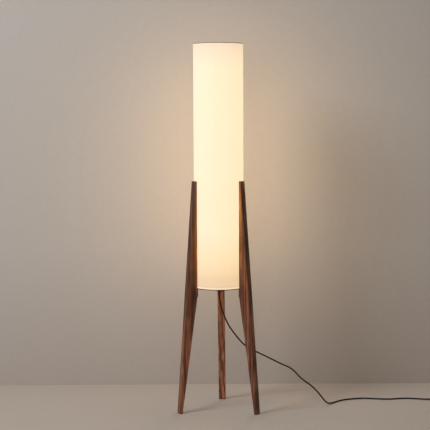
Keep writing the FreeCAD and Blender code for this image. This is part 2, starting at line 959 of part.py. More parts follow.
def spine_screws():
    made = [
        small_screw(f"spine_screw_{name}", across, "bracket_back", level, **BACKWARDS)
        for name, across, level in BACK_SCREWS
    ]
    made += [
        small_screw(f"hub_screw_{name}", across, "foot_screw_back", "frame_top + bracket_thick")
        for name, across in HUB_SCREWS
    ]
    return subpart("spine_screws", fuse("spine_screws", made))


def locating_pin():
    """The pin that keeps the top of the shade central."""
    shank = rod("pin_shank", "pin_radius", "pin_height - 1")
    tip = cone("pin_tip", "pin_radius", "pin_radius - 1", 1, z="pin_height - 1")
    return subpart("locating_pin", put(fuse("locating_pin", [shank, tip]), z="bracket_top"))


# ---------------------------------------------------------------- lamp tube
def tube_glass():
    made = sleeve("tube_glass", "glass_radius", "glass_radius - glass_wall", "glass_length")
    return subpart("tube_glass", put(made, z="tube_bottom + cap_end + fit_gap"))


def led_strip():
    made = box("led_strip", "strip_width", "strip_thick", "glass_length")
    level = "tube_bottom + cap_end + fit_gap"
    return subpart("led_strip", put(made, "-strip_width / 2", "strip_front", level))


def tube_caps():
    """Two aluminium cups over the ends of the glass."""
    cups = []
    for name, level, hollow in (("low", "0", "cap_end"), ("high", "tube_length - cap_length", "0")):
        outer = rod(f"cap_{name}_outer", "cap_radius", "cap_length", z=level)
        inner = rod(
            f"cap_{name}_inner", "glass_radius + fit_gap", "cap_length - cap_end", z=f"{level} + {hollow}"
        )
        cups.append(cut(f"cap_{name}", outer, inner))
    return subpart("tube_caps", put(fuse("tube_caps", cups), z="tube_bottom"))


def tube_pins():
    made = []
    for name, level in (("low", "-contact_pin_length"), ("high", "tube_length")):
        for side in (-1, 1):
            across = f"{side} * contact_pin_spacing / 2"
            size = ("contact_pin_radius", "contact_pin_length")
            made.append(rod(f"tube_pin_{name}_{side}", *size, across, 0, level))
    return subpart("tube_pins", put(fuse("tube_pins", made), z="tube_bottom"))


# ---------------------------------------------------------------- shade
def shade_fabric():
    made = sleeve("shade_fabric", "shade_radius", "liner_outer", "shade_height")
    return subpart("shade_fabric", put(made, z="shade_bottom"))


def shade_liner():
    made = sleeve("shade_liner", "liner_outer", "liner_inner", "shade_height")
    return subpart("shade_liner", put(made, z="shade_bottom"))


def shade_hems():
    """The turned edge of the fabric, round the bottom and round the top."""
    bands = [
        sleeve("hem_low", "hem_outer", "shade_radius", "hem_width"),
        sleeve("hem_high", "hem_outer", "shade_radius", "hem_width", z="shade_height - hem_width"),
    ]
    return subpart("shade_hems", put(fuse("shade_hems", bands), z="shade_bottom"))


def wire_ring(node, level):
    ring = doc.addObject("Part::Torus", node)
    bind(ring, Radius1="wire_ring", Radius2="wire_radius")
    return subpart(node, put(ring, z=level))


def top_spider():
    """A washer that drops over the locating pin, with three wire arms to the top ring."""
    solids = [rod("spider_washer", "spider_radius", "spider_thick", z="-spider_thick / 2")]
    for third in range(3):
        angle = number("spider_angle") + 120 * third
        across = V(-math.sin(math.radians(angle)), math.cos(math.radians(angle)), 0)
        arm = rod(
            f"spider_arm_{third}",
            "wire_radius",
            "spider_arm_end - spider_arm_start",
            f"spider_arm_start * cos(spider_angle + {120 * third})",
            f"spider_arm_start * sin(spider_angle + {120 * third})",
            turn=90,
            axis=across,
        )
        solids.append(arm)
    hole = rod("spider_hole", "pin_radius + run_gap", "spider_thick", z="-spider_thick / 2")
    return subpart("top_spider", put(cut("top_spider", fuse("spider_solid", solids), hole), z="top_wire"))


# ---------------------------------------------------------------- foot switch on the cord
SWITCH_PLACE = ("switch_x", "cord_end_y")
BOSSES = ("-switch_screw_reach", "switch_screw_reach")


def switch_block(body, low, tall):
    """A block with round upright corners, its underside at the level low."""
    corners = [
        ("-switch_half", "-switch_side"),
        ("switch_half", "-switch_side"),
        ("switch_half", "switch_side"),
        ("-switch_half", "switch_side"),
    ]
    pad(body, outline(body, "XY_Plane", corners, low), tall)
    round_edges(body, "switch_corner", upright)


def switch_base():
    body = new_body("switch_base")
    switch_block(body, 0, "switch_base_height")
    hollow(body, "switch_wall", number("switch_base_height"))
    bosses = [(reach, 0, "switch_boss_radius") for reach in BOSSES]
    pad(body, rounds(body, "XY_Plane", bosses), "switch_base_height")
    bores = rounds(body, "XY_Plane", [(reach, 0, "thin_hole") for reach in BOSSES], "switch_base_height")
    pocket(body, bores, "switch_base_height")
    sinks = rounds(body, "XY_Plane", [(reach, 0, "head_hole") for reach in BOSSES])
    pocket(body, sinks, "head_sink", reverse=True)
    return subpart("switch_base", put(body, *SWITCH_PLACE))


def switch_cover():
    body = new_body("switch_cover")
    switch_block(body, "switch_base_height", "switch_cover_height")
    top = number("switch_top")
    round_edges(body, "cover_round", lambda edge: min(heights(edge)) > top - 1e-6)
    hollow(body, "switch_wall", number("switch_base_height"))
    spots = [(reach, 0, "switch_boss_radius") for reach in BOSSES]
    bosses = rounds(body, "XY_Plane", spots, "switch_base_height")
    pad(body, bosses, "switch_cover_height - switch_wall / 2")
    bores = rounds(body, "XY_Plane", [(reach, 0, "thin_hole") for reach in BOSSES], "switch_base_height")
    pocket(body, bores, "bore_high", reverse=True)
    pocket(body, rounds(body, "XY_Plane", [(0, 0, "button_hole")], "switch_top"), "2 * switch_wall")
    return subpart("switch_cover", put(body, *SWITCH_PLACE))


def switch_button():
    """The foot button, kept in the cover by the flange round its lower edge."""
    body = new_body("switch_button")
    pad(body, rounds(body, "XY_Plane", [(0, 0, "flange_radius")], "flange_bottom"), "button_flange_thick")
    stem = rounds(body, "XY_Plane", [(0, 0, "button_radius")], "flange_bottom")
    pad(body, stem, "button_top - flange_bottom")
    top = number("button_top")
    round_edges(body, "button_round", lambda edge: min(heights(edge)) > top - 1e-6)
    return subpart("switch_button", put(body, *SWITCH_PLACE))


def switch_spring():
    length = "flange_bottom - unit_top - fit_gap - run_gap"
    made = sleeve("switch_spring", "spring_radius", "spring_radius - spring_wire", length)
    return subpart("switch_spring", put(made, *SWITCH_PLACE, "unit_top + fit_gap"))


def switch_unit():
    made = box("switch_unit", "unit_long", "unit_wide", "unit_tall")
    corner = ("switch_x - unit_long / 2", "cord_end_y - unit_wide / 2", "switch_wall")
    return subpart("switch_unit", put(made, *corner))


def switch_screws():
    made = [
        thin_screw(
            f"switch_screw_{side}",
            "switch_base_height - head_sink + bore_high - 1",
            f"{side} * switch_screw_reach",
            0,
            "head_sink",
            turn=180,
            axis=V(1, 0, 0),
        )
        for side in (-1, 1)
    ]
    return subpart("switch_screws", put(fuse("switch_screws", made), *SWITCH_PLACE))


def switch_reliefs():
    shape = ("relief_radius", "relief_tip_radius", "relief_length")
    made = [
        cone("relief_out", *shape, "switch_half", 0, "cord_entry", 90, V(0, 1, 0)),
        cone("relief_in", *shape, "-switch_half", 0, "cord_entry", -90, V(0, 1, 0)),
    ]
    return subpart("switch_reliefs", put(fuse("switch_reliefs", made), *SWITCH_PLACE))


# ---------------------------------------------------------------- plug
def plug_body():
    body = new_body("plug_body")
    flat = outline(
        body,
        "XY_Plane",
        [
            (0, "-plug_half"),
            ("plug_shoulder", "-plug_half"),
            ("plug_long", "-plug_neck_half"),
            ("plug_long", "plug_neck_half"),
            ("plug_shoulder", "plug_half"),
            (0, "plug_half"),
        ],
    )
    pad(body, flat, "plug_thick")
    round_edges(body, "plug_round", lambda edge: True)
    return subpart("plug_body", put(body, "plug_x", "plug_front", turn=90))


def plug_relief():
    made = cone("plug_relief", "plug_relief_radius", "relief_tip_radius", "plug_relief_length")
    return subpart("plug_relief", put(made, "plug_x", "plug_back", "plug_level", -90, V(1, 0, 0)))


def plug_pins():
    pins = []
    for side in (-1, 1):
        place = (0, f"{side} * plug_pin_spacing / 2", "plug_level", -90, V(0, 1, 0))
        shank = rod(f"plug_shank_{side}", "plug_pin_radius", "plug_pin_length - plug_pin_tip")
        tip = cone(
            f"plug_tip_{side}",
            "plug_pin_radius",
            "plug_pin_radius / 2",
            "plug_pin_tip",
            z="plug_pin_length - plug_pin_tip",
        )
        pins.append(put(fuse(f"plug_pin_{side}", [shank, tip]), *place))
    return subpart("plug_pins", put(fuse("plug_pins", pins), "plug_x", "plug_front", turn=90))


# ---------------------------------------------------------------- cord
# Where the cord runs from the gland to the foot switch: down, out to the right behind the
# right leg, onto the floor and along it in slow bends.
ROUTE = [
    (0, 0, 445),
    (15, 0, 392),
    (36, 1, 343),
    (67, 4, 299),
    (102, 7, 258),
    (150, 12, 232),
    (198, 16, 209),
    (245, 20, 184),
    (294, 25, 163),
    (329, 28, 121),
    (373, 37, 90),
    (405, 50, 53),
    (436, 73, 7),
    (464, 114, 3),
    (496, 161, 3),
    (543, 188, 3),
    (595, 203, 3),
    (647, 191, 3),
    (700, 186, 3),
    (752, 207, 3),
    (800, 205, 3),
    (838, 193, 3),
]
ARC_SHARE = 0.45  # how much of the shorter run beside a corner its arc takes


def arc(start, heading, end):
    """The circular arc that leaves start along heading and reaches end."""
    chord = end - start
    along = V(chord).normalize()
    angle = heading.getAngle(chord)
    if angle < 1e-6:
        return Part.LineSegment(start, end).toShape()
    aside = (heading - along * heading.dot(along)).normalize()
    middle = (start + end) * 0.5 + aside * (chord.Length / 2 * math.tan(angle / 2))
    return Part.Arc(start, middle, end).toShape()


def biarc(start, heading, end, arrival):
    """Two tangent arcs from start to end, with the given directions at their ends."""
    span = end - start
    both = heading + arrival
    square = both.dot(both) - 4
    if abs(square) < 1e-9:
        reach = span.dot(span) / (2 * span.dot(both))
    else:
        root = math.sqrt(span.dot(both) ** 2 - square * span.dot(span))
        reach = (span.dot(both) - root) / square
    near = start + heading * reach
    far = end - arrival * reach
    joint = (near + far) * 0.5
    return [arc(start, heading, joint), arc(joint, (far - near).normalize(), end)]


def tube(edges, start, heading, radius):
    profile = Part.Wire([Part.Circle(start, heading, radius).toShape()])
    return Part.Wire(edges).makePipeShell([profile], True, False)


def cord_part(node, edges, heading):
    radius = number("cord_radius")
    start = edges[0].valueAt(edges[0].FirstParameter)
    made = doc.addObject("Part::Feature", node)
    made.Shape = tube(edges, start, heading, radius)
    made.Placement = FreeCAD.Placement()
    length = sum(edge.Length for edge in edges)
    share = made.Shape.Volume / (math.pi * radius**2 * length)
    print(f"{node}: {length:.1f} mm long, volume {share:.4f} of section times length")
    return subpart(node, made)


def cord_run():
    """The free cord: straight runs joined by arcs as large as the runs allow."""
    start = V(0, 0, number("cord_exit"))
    entry = V(number("route_end"), number("cord_end_y"), number("cord_entry"))
    before_entry = entry - V(4 * number("cord_width"), 0, 0)
    points = [start] + [V(*point) for point in ROUTE] + [before_entry, entry]
    edges = []
    left = start
    radii = []
    for before, here, after in zip(points, points[1:], points[2:]):
        heading = (here - before).normalize()
        leaving = (after - here).normalize()
        reach = ARC_SHARE * min((here - before).Length, (after - here).Length)
        radii.append(reach / math.tan(heading.getAngle(leaving) / 2))
        into, out = here - heading * reach, here + leaving * reach
        edges += [Part.LineSegment(left, into).toShape(), arc(into, heading, out)]
        left = out
    edges.append(Part.LineSegment(left, entry).toShape())
    print("cord_run: arc radii " + ", ".join(f"{radius:.0f}" for radius in radii))
    return cord_part("cord_run", edges, V(0, 0, -1))


def coil_path():
    """Half turns that spiral in, climb and spiral out on top, then a quarter turn towards the plug."""
    half_turns = round(number("coil_half_turns"))
    inward = half_turns // 2
    step = number("coil_pitch") / 2
    x, y = number("coil_x"), number("coil_y")
    spots = []
    for n in range(half_turns + 1):
        turns_in = min(n, inward) - max(0, n - inward - 1)
        away = number("coil_outer") - step * turns_in
        level = number("cord_entry") if n <= inward else number("coil_top")
        side = 1 if n % 2 == 0 else -1
        spots.append((V(x, y + side * away, level), V(side, 0, 0)))
    spots.append((V(x + number("coil_end"), y, number("coil_top")), V(0, -1, 0)))
    start = V(number("coil_start"), spots[0][0].y, spots[0][0].z)
    edges = [Part.LineSegment(start, spots[0][0]).toShape()]
    for (here, heading), (there, arrival) in zip(spots, spots[1:]):
        edges += biarc(here, heading, there, arrival)
    last, out = spots[-1]
    straight = out * number("cord_width")
    plug_end = V(number("plug_x"), number("tail_end"), number("plug_level"))
    edges.append(Part.LineSegment(last, last + straight).toShape())
    edges += biarc(last + straight, out, plug_end - straight, out)
    edges.append(Part.LineSegment(plug_end - straight, plug_end).toShape())
    return edges


def least_gap(edges):
    """The coil's least gap to itself, on points along its middle line."""
    points, along, total = [], [], 0.0
    for edge in edges:
        count = max(2, int(edge.Length / 2))
        for i in range(count):
            points.append(edge.valueAt(edge.getParameterByLength(edge.Length * i / count)))
            along.append(total + edge.Length * i / count)
        total += edge.Length
    apart = 4 * number("cord_width")
    gaps = [
        points[i].distanceToPoint(points[j])
        for i in range(len(points))
        for j in range(i + 1, len(points))
        if along[j] - along[i] > apart
    ]
    return min(gaps) - number("cord_width")


def cord_coil():
    edges = coil_path()
    print(f"cord_coil: least gap to itself {least_gap(edges):.2f} mm")
    return cord_part("cord_coil", edges, V(1, 0, 0))


def coil_tie():
    """A flat band round the turns on the coil's left side."""
    across = "tie_far - tie_near"
    thick = "tie_thick"
    outer = box("tie_outer", f"{across} + 2 * {thick}", "tie_width", f"tie_rise + 2 * {thick}")
    inner = box("tie_inner", across, "tie_width", "tie_rise", thick, 0, thick)
    made = cut("coil_tie", outer, inner)
    return subpart("coil_tie", put(made, "coil_x - tie_far - tie_thick", "coil_y - tie_width / 2", "tie_low"))


def build():
    for place, node in enumerate(("leg_rear", "leg_left", "leg_right")):
        leg(node, place)
    foot_glides()
    leg_inserts()
    leg_bolts()
    base_frame()
    cord_gland()
    gland_nut()
    lead_in()
    terminal_box()
    terminal_lid()
    lid_screws()
    terminal_block()
    lamp_wires()
    socket("lower_holder", "lower_face")
    socket("upper_holder", "upper_face", **TURNED_OVER)
    rotor("lower_rotor", "lower_face", "slot_end")
    rotor("upper_rotor", "upper_face", "-slot_end", **TURNED_OVER)
    holder_contacts()
    holder_screws()
    spine()
    spine_foot()
    top_bracket()
    spine_screws()
    locating_pin()
    tube_glass()
    led_strip()
    tube_caps()
    tube_pins()
    shade_fabric()
    shade_liner()
    shade_hems()
    wire_ring("shade_top_ring", "top_wire")
    wire_ring("shade_bottom_ring", "bottom_wire")
    top_spider()
    switch_base()
    switch_cover()
    switch_button()
    switch_spring()
    switch_unit()
    switch_screws()
    switch_reliefs()
    plug_body()
    plug_relief()
    plug_pins()
    cord_run()
    cord_coil()
    coil_tie()
    doc.recompute()


def check_and_write():
    for obj in doc.Objects:
        if "Invalid" in obj.State or "Error" in obj.State:
            raise RuntimeError(f"{obj.Name} failed: {obj.State}")
    for node, made in SUBPARTS.items():
        if made.Shape.isNull() or not made.Shape.isValid():
            raise RuntimeError(f"{node} has no valid shape")
    for node, made in SUBPARTS.items():
        made.Shape.exportStep(f"parts/{node}.step")
    print(f"{len(SUBPARTS)} sub-parts written")


build()
check_and_write()
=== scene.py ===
"""Looks of a column floor lamp: a tall cream shade on three walnut legs, with its cord and foot switch."""

import math

import bpy
import numpy as np
from mathutils import Matrix, Vector


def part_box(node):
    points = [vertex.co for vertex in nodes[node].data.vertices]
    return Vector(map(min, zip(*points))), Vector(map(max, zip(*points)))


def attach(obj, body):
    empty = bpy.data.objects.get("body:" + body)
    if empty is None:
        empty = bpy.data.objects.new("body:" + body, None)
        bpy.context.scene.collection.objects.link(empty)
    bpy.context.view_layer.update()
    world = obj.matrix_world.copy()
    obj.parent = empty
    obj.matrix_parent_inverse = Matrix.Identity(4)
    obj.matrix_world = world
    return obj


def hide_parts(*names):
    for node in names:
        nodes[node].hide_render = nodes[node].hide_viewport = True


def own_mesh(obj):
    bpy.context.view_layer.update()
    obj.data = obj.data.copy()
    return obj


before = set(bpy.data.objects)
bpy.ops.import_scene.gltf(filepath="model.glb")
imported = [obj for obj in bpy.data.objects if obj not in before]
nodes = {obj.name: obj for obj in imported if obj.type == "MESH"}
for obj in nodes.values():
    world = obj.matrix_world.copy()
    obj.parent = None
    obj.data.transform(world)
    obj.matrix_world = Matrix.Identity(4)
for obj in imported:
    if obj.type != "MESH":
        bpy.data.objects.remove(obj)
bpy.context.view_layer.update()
MM = 0.001


# ---------------------------------------------------------------- camera
CAMERA_PLACE = (0.309, -5.093, 1.197)
CAMERA_HEADING = 3.647  # degrees, anticlockwise from +Y seen from above
CAMERA_DIP = 4.559  # degrees below the horizon
CAMERA_ROLL = -0.298
CAMERA_LENS = 106.6  # mm on a 36 mm wide sensor


def place_camera():
    """The camera, set so that the feet, the legs' tips and the shade's ends fall where they should."""
    camera = bpy.data.objects.new("camera", bpy.data.cameras.new("camera"))
    bpy.context.scene.collection.objects.link(camera)
    camera.data.sensor_width = 36
    camera.data.lens = CAMERA_LENS
    camera.data.clip_end = 50
    camera.matrix_world = (
        Matrix.Translation(CAMERA_PLACE)
        @ Matrix.Rotation(math.radians(CAMERA_HEADING), 4, "Z")
        @ Matrix.Rotation(math.radians(90 - CAMERA_DIP), 4, "X")
        @ Matrix.Rotation(math.radians(CAMERA_ROLL), 4, "Z")
    )
    bpy.context.scene.camera = camera


# ---------------------------------------------------------------- surfaces
def grid_faces(rows, columns, wrap_rows=False, wrap_columns=False):
    """Four-cornered faces of a grid of rows x columns points, in row-major order."""
    row = np.arange(rows if wrap_rows else rows - 1)
    column = np.arange(columns if wrap_columns else columns - 1)
    a, b = np.meshgrid(row, column, indexing="ij")
    c, d = (a + 1) % rows, (b + 1) % columns
    corners = [a * columns + b, a * columns + d, c * columns + d, c * columns + b]
    return np.stack(corners, -1).reshape(-1, 4).tolist()


def capped_faces(rows, columns):
    """A grid closed round its columns, with one pole point before its first row and one after its last."""
    body = (np.array(grid_faces(rows, columns, wrap_columns=True)) + 1).tolist()
    near = np.arange(columns)
    after = (near + 1) % columns
    last = (rows - 1) * columns + 1
    low = np.stack([np.zeros_like(near), after + 1, near + 1], -1)
    high = np.stack([np.full_like(near, rows * columns + 1), near + last, after + last], -1)
    return body + low.tolist() + high.tolist()


def new_piece(name, points, faces, body, uv=None, around=0.0):
    """A smooth mesh object that rides on a body.

    uv gives one pair for each point of four-cornered faces, and u closes up after around."""
    mesh = bpy.data.meshes.new(name)
    mesh.from_pydata(np.asarray(points).reshape(-1, 3).tolist(), [], faces)
    if uv is not None:
        corners = np.zeros(len(mesh.loops), np.int32)
        mesh.loops.foreach_get("vertex_index", corners)
        pairs = np.asarray(uv, np.float32).reshape(-1, 2)[corners].reshape(-1, 4, 2)
        past_seam = pairs[:, :, 0].max(1, keepdims=True) - pairs[:, :, 0] > around / 2
        pairs[:, :, 0] += around * past_seam
        layer = mesh.uv_layers.new(name="surface")
        layer.data.foreach_set("uv", pairs.ravel())
    mesh.polygons.foreach_set("use_smooth", np.ones(len(mesh.polygons), bool))
    mesh.update()
    piece = bpy.data.objects.new(name, mesh)
    bpy.context.scene.collection.objects.link(piece)
    if body:
        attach(piece, body)
    return piece


def stand_in(piece, node):
    """The piece is shown in place of a CAD node, which is hidden."""
    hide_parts(node)
    return piece


def turned(heights, radii, spot, heading, sides=48):
    """Turned form with two poles: spot + h a + r (u cos t + v sin t), r one number or one for each t."""
    a = np.array(heading, float)
    u = np.cross(a, (0, 0, 1) if abs(a[2]) < 0.9 else (0, 1, 0))
    u /= np.linalg.norm(u)
    v = np.cross(a, u)
    t = np.linspace(0, 2 * np.pi, sides, endpoint=False)
    h = np.asarray(heights, float)[:, None, None]
    r = np.array([np.broadcast_to(radius, sides) for radius in radii], float)[:, :, None]
    round_axis = np.cos(t)[None, :, None] * u + np.sin(t)[None, :, None] * v
    rings = (np.array(spot, float) + h * a + r * round_axis).reshape(-1, 3)
    ends = [np.array(spot) + heights[0] * a, np.array(spot) + heights[-1] * a]
    return np.concatenate([[ends[0]], rings, [ends[1]]]), capped_faces(len(radii), sides)


def gathered(parts):
    """Joins the points and faces of several closed forms into one."""
    points, faces, count = [], [], 0
    for some_points, some_faces in parts:
        points.append(some_points)
        faces += [[corner + count for corner in face] for face in some_faces]
        count += len(some_points)
    return np.concatenate(points), faces


# ---------------------------------------------------------------- shader nodes
def linear(red, green, blue):
    """A colour as a screen shows it, 0 to 255, in the shader's own linear values."""
    share = np.array([red, green, blue]) / 255
    return (*np.where(share <= 0.04045, share / 12.92, ((share + 0.055) / 1.055) ** 2.4).tolist(), 1.0)


class Finish:
    """A Principled material and short calls for the nodes that feed it."""

    def __init__(self, name, **sockets):
        self.material = bpy.data.materials.new(name)
        self.material.use_nodes = True
        self.tree = self.material.node_tree
        self.shader = self.tree.nodes["Principled BSDF"]
        for socket, value in sockets.items():
            self.shader.inputs[socket.replace("_", " ")].default_value = value

    def node(self, kind, links=None, **settings):
        made = self.tree.nodes.new("ShaderNode" + kind)
        for name, value in settings.items():
            setattr(made, name, value)
        for socket, value in (links or {}).items():
            if isinstance(value, bpy.types.NodeSocket):
                self.tree.links.new(value, made.inputs[socket])
            else:
                made.inputs[socket].default_value = value
        return made

    def place(self, scale=(1, 1, 1), turn=(0, 0, 0), shift=(0, 0, 0), source="Object"):
        links = {"Vector": self.node("TexCoord").outputs[source]}
        links.update({"Scale": scale, "Rotation": turn, "Location": shift})
        return self.node("Mapping", links).outputs["Vector"]

    def noise(self, vector, scale, detail=3.0, roughness=0.5, distortion=0.0):
        links = {"Vector": vector, "Scale": scale, "Detail": detail, "Roughness": roughness}
        return self.node("TexNoise", {**links, "Distortion": distortion}).outputs["Fac"]

    def waves(self, vector, scale, direction, distortion=0.0, detail=0.0, detail_scale=1.0):
        links = {"Vector": vector, "Scale": scale, "Distortion": distortion, "Detail": detail}
        links["Detail Scale"] = detail_scale
        return self.node("TexWave", links, bands_direction=direction).outputs["Fac"]

    def ramp(self, share, *stops):
        """Colours along a share from 0 to 1, each stop given as (share, colour)."""
        made = self.node("ValToRGB", {"Fac": share})
        ends = made.color_ramp.elements
        while len(ends) < len(stops):
            ends.new(0.5)
        for element, (spot, colour) in zip(ends, stops):
            element.position = spot
            element.color = colour
        return made.outputs["Color"]

    def span(self, value, low, high, to_low=0.0, to_high=1.0):
        links = {"Value": value, "From Min": low, "From Max": high, "To Min": to_low, "To Max": to_high}
        return self.node("MapRange", links).outputs["Result"]

    def math(self, operation, first, second):
        return self.node("Math", {0: first, 1: second}, operation=operation).outputs["Value"]

    def mix(self, share, first, second, blend="MIX"):
        made = self.node("MixRGB", {"Fac": share, "Color1": first, "Color2": second}, blend_type=blend)
        return made.outputs["Color"]

    def along(self, vector, axis):
        return self.node("SeparateXYZ", {"Vector": vector}).outputs[axis]

    def feed(self, socket, value):
        self.tree.links.new(value, self.shader.inputs[socket])

    def bump(self, height, depth, strength=1.0):
        made = self.node("Bump", {"Height": height, "Distance": depth, "Strength": strength})
        self.feed("Normal", made.outputs["Normal"])


def dress(finish, *pieces):
    """Gives pieces or CAD nodes their material."""
    for piece in pieces:
        target = nodes[piece] if isinstance(piece, str) else piece
        target.data.materials.clear()
        target.data.materials.append(finish.material)


def wave_scale(pitch):
    """The wave texture's scale that gives one wave for each pitch."""
    return 2 * math.pi / (20 * pitch)


def shade_of(colour, factor):
    """A colour made lighter or darker, up to white."""
    return tuple(min(1.0, c * factor) for c in colour[:3]) + (1,)


# ---------------------------------------------------------------- wood
LEG_TONES_UP_TO = 0.9
# Each leg's colour is scaled along its height, as (height in metres, factor): partly the board's own tone,
# partly painted light and shade.
LEG_TONES_AND_PAINTED_SHADE = {
    "leg_rear": [(0.00, 1.50), (0.90, 1.70)],
    "leg_left": [(0.00, 1.55), (0.29, 1.40), (0.41, 0.84), (0.57, 0.56), (0.72, 0.68), (0.90, 0.60)],
    "leg_right": [(0.00, 1.05), (0.48, 0.98), (0.57, 0.55), (0.90, 0.60)],
}
# Painted glow: a golden tint on each leg's inner side beside the shade, standing in for the shade's light, as
# (height in metres, share)
LEG_PAINTED_GLOW = {
    "leg_rear": [(0.48, 0.0), (0.52, 0.4)],
    "leg_left": [(0.48, 0.0), (0.52, 0.55), (0.66, 0.78), (0.75, 0.33), (0.90, 0.02)],
    "leg_right": [(0.57, 0.0), (0.74, 1.0)],
}
# the painted glow's tint, and how far from the lamp's axis it is full and gone
PAINTED_GLOW_TINT = (5.2, 5.0, 1.8, 1)
PAINTED_GLOW_FULL, PAINTED_GLOW_GONE = 107 * MM, 121 * MM  # from the lamp's axis
WALNUT_BANDS = [(0.30, (92, 52, 36)), (0.44, (140, 84, 58)), (0.58, (172, 108, 76)), (0.74, (198, 132, 94))]
WALNUT_GROWTH = (62, 35, 23)
WALNUT_LINES = (60, 35, 23)
WALNUT_STREAKS = (36, 22, 16)
WALNUT_PORES = (34, 20, 14)


def by_height(finish, up, stops):
    """Grey along a leg, each stop given as (height in metres, value)."""
    return finish.ramp(up, *((z / LEG_TONES_UP_TO, (value, value, value, 1)) for z, value in stops))


def walnut(name, tone_and_shade_stops, painted_glow_stops):
    """Oiled walnut: growth lines run up the leg, drawn out by slow noise, over lighter and darker bands.

    The board's colour is scaled with height, partly its own tone and partly painted light and shade. A
    painted golden glow, standing in for the lit shade's light, lies on its inner side near the shade. Both
    are given as pairs (height in metres, factor)."""
    finish = Finish(name, Specular_IOR_Level=0.40, Coat_Weight=0.06, Coat_Roughness=0.3)
    bands = finish.noise(finish.place((46, 46, 4.5)), 1.0, 4.0, 0.6, 1.2)
    growth = finish.waves(finish.place((1, 1, 0.06), (0, 0, 0.5)), 20.0, "X", 7.0, 3.0, 1.6)
    lines = finish.noise(finish.place((300, 300, 6)), 1.0, 5.0, 0.65, 0.2)
    streaks = finish.noise(finish.place((110, 110, 5.0), shift=(3.1, 1.7, 0.4)), 1.0, 5.0, 0.6, 0.8)
    pores = finish.noise(finish.place((1100, 1100, 34)), 1.0, 2.0, 0.6)
    body = finish.ramp(bands, *((spot, linear(*colour)) for spot, colour in WALNUT_BANDS))
    body = finish.mix(finish.span(growth, 0.35, 0.95, 0.0, 0.72), body, linear(*WALNUT_GROWTH))
    body = finish.mix(finish.span(lines, 0.40, 0.72, 0.0, 0.55), body, linear(*WALNUT_LINES))
    body = finish.mix(finish.span(streaks, 0.55, 0.70, 0.0, 0.85), body, linear(*WALNUT_STREAKS))
    body = finish.mix(finish.span(pores, 0.60, 0.72, 0.0, 0.75), body, linear(*WALNUT_PORES))
    from_axis = finish.place((1, 1, 0))
    away = finish.node("VectorMath", {0: from_axis}, operation="LENGTH").outputs["Value"]
    up = finish.span(finish.along(finish.place(), "Z"), 0.0, LEG_TONES_UP_TO)
    # painted glow from the shade: golden tint on the inner side, fading out away from the shade
    painted_glow_reach = finish.span(away, PAINTED_GLOW_FULL, PAINTED_GLOW_GONE, 1.0, 0.0)
    painted_glow = finish.math("MULTIPLY", painted_glow_reach, by_height(finish, up, painted_glow_stops))
    body = finish.mix(painted_glow, body, finish.mix(1.0, body, PAINTED_GLOW_TINT, "MULTIPLY"))
    # the board's own tone and painted light and shade, scaled along the height
    finish.feed("Base Color", finish.mix(1.0, body, by_height(finish, up, tone_and_shade_stops), "MULTIPLY"))
    finish.feed("Roughness", finish.span(lines, 0.3, 0.7, 0.36, 0.52))
    finish.bump(finish.math("SUBTRACT", lines, finish.math("MULTIPLY", pores, 1.6)), 0.00025, 0.45)
    return finish


# ---------------------------------------------------------------- cloth
HEM_FOLD = 12 * MM  # from the shade's edge to its stitched fold
THREAD_PITCH = 0.8 * MM
GLOW_UP_THE_SHADE = [
    (0.000, (0.80, 0.58, 0.390, 1)),
    (0.035, (0.82, 0.59, 0.380, 1)),
    (0.075, (0.92, 0.68, 0.430, 1)),
    (0.120, (0.96, 0.74, 0.480, 1)),
    (0.240, (1.00, 0.82, 0.580, 1)),
    (0.500, (1.00, 0.84, 0.610, 1)),
    (0.730, (1.00, 0.85, 0.620, 1)),
    (0.900, (1.00, 0.84, 0.610, 1)),
    (0.965, (0.97, 0.76, 0.580, 1)),
    (1.000, (0.92, 0.72, 0.550, 1)),
]


def weave_height(finish, pitch):
    """Plain weave over the cloth's surface in metres: warp and weft take turns on top, with thick threads."""
    surface = finish.place(source="UV")
    warp = finish.waves(surface, wave_scale(pitch), "X", 0.5, 1.0, 0.4)
    weft = finish.waves(surface, wave_scale(pitch), "Y", 0.5, 1.0, 0.4)
    across = finish.noise(finish.place((30, 1 / pitch, 1), source="UV"), 1.0, 2.0)
    upward = finish.noise(finish.place((1 / pitch, 30, 1), source="UV"), 1.0, 2.0)
    slub = finish.math("MAXIMUM", across, upward)
    return finish.math("ADD", finish.math("MULTIPLY", warp, weft), slub), slub


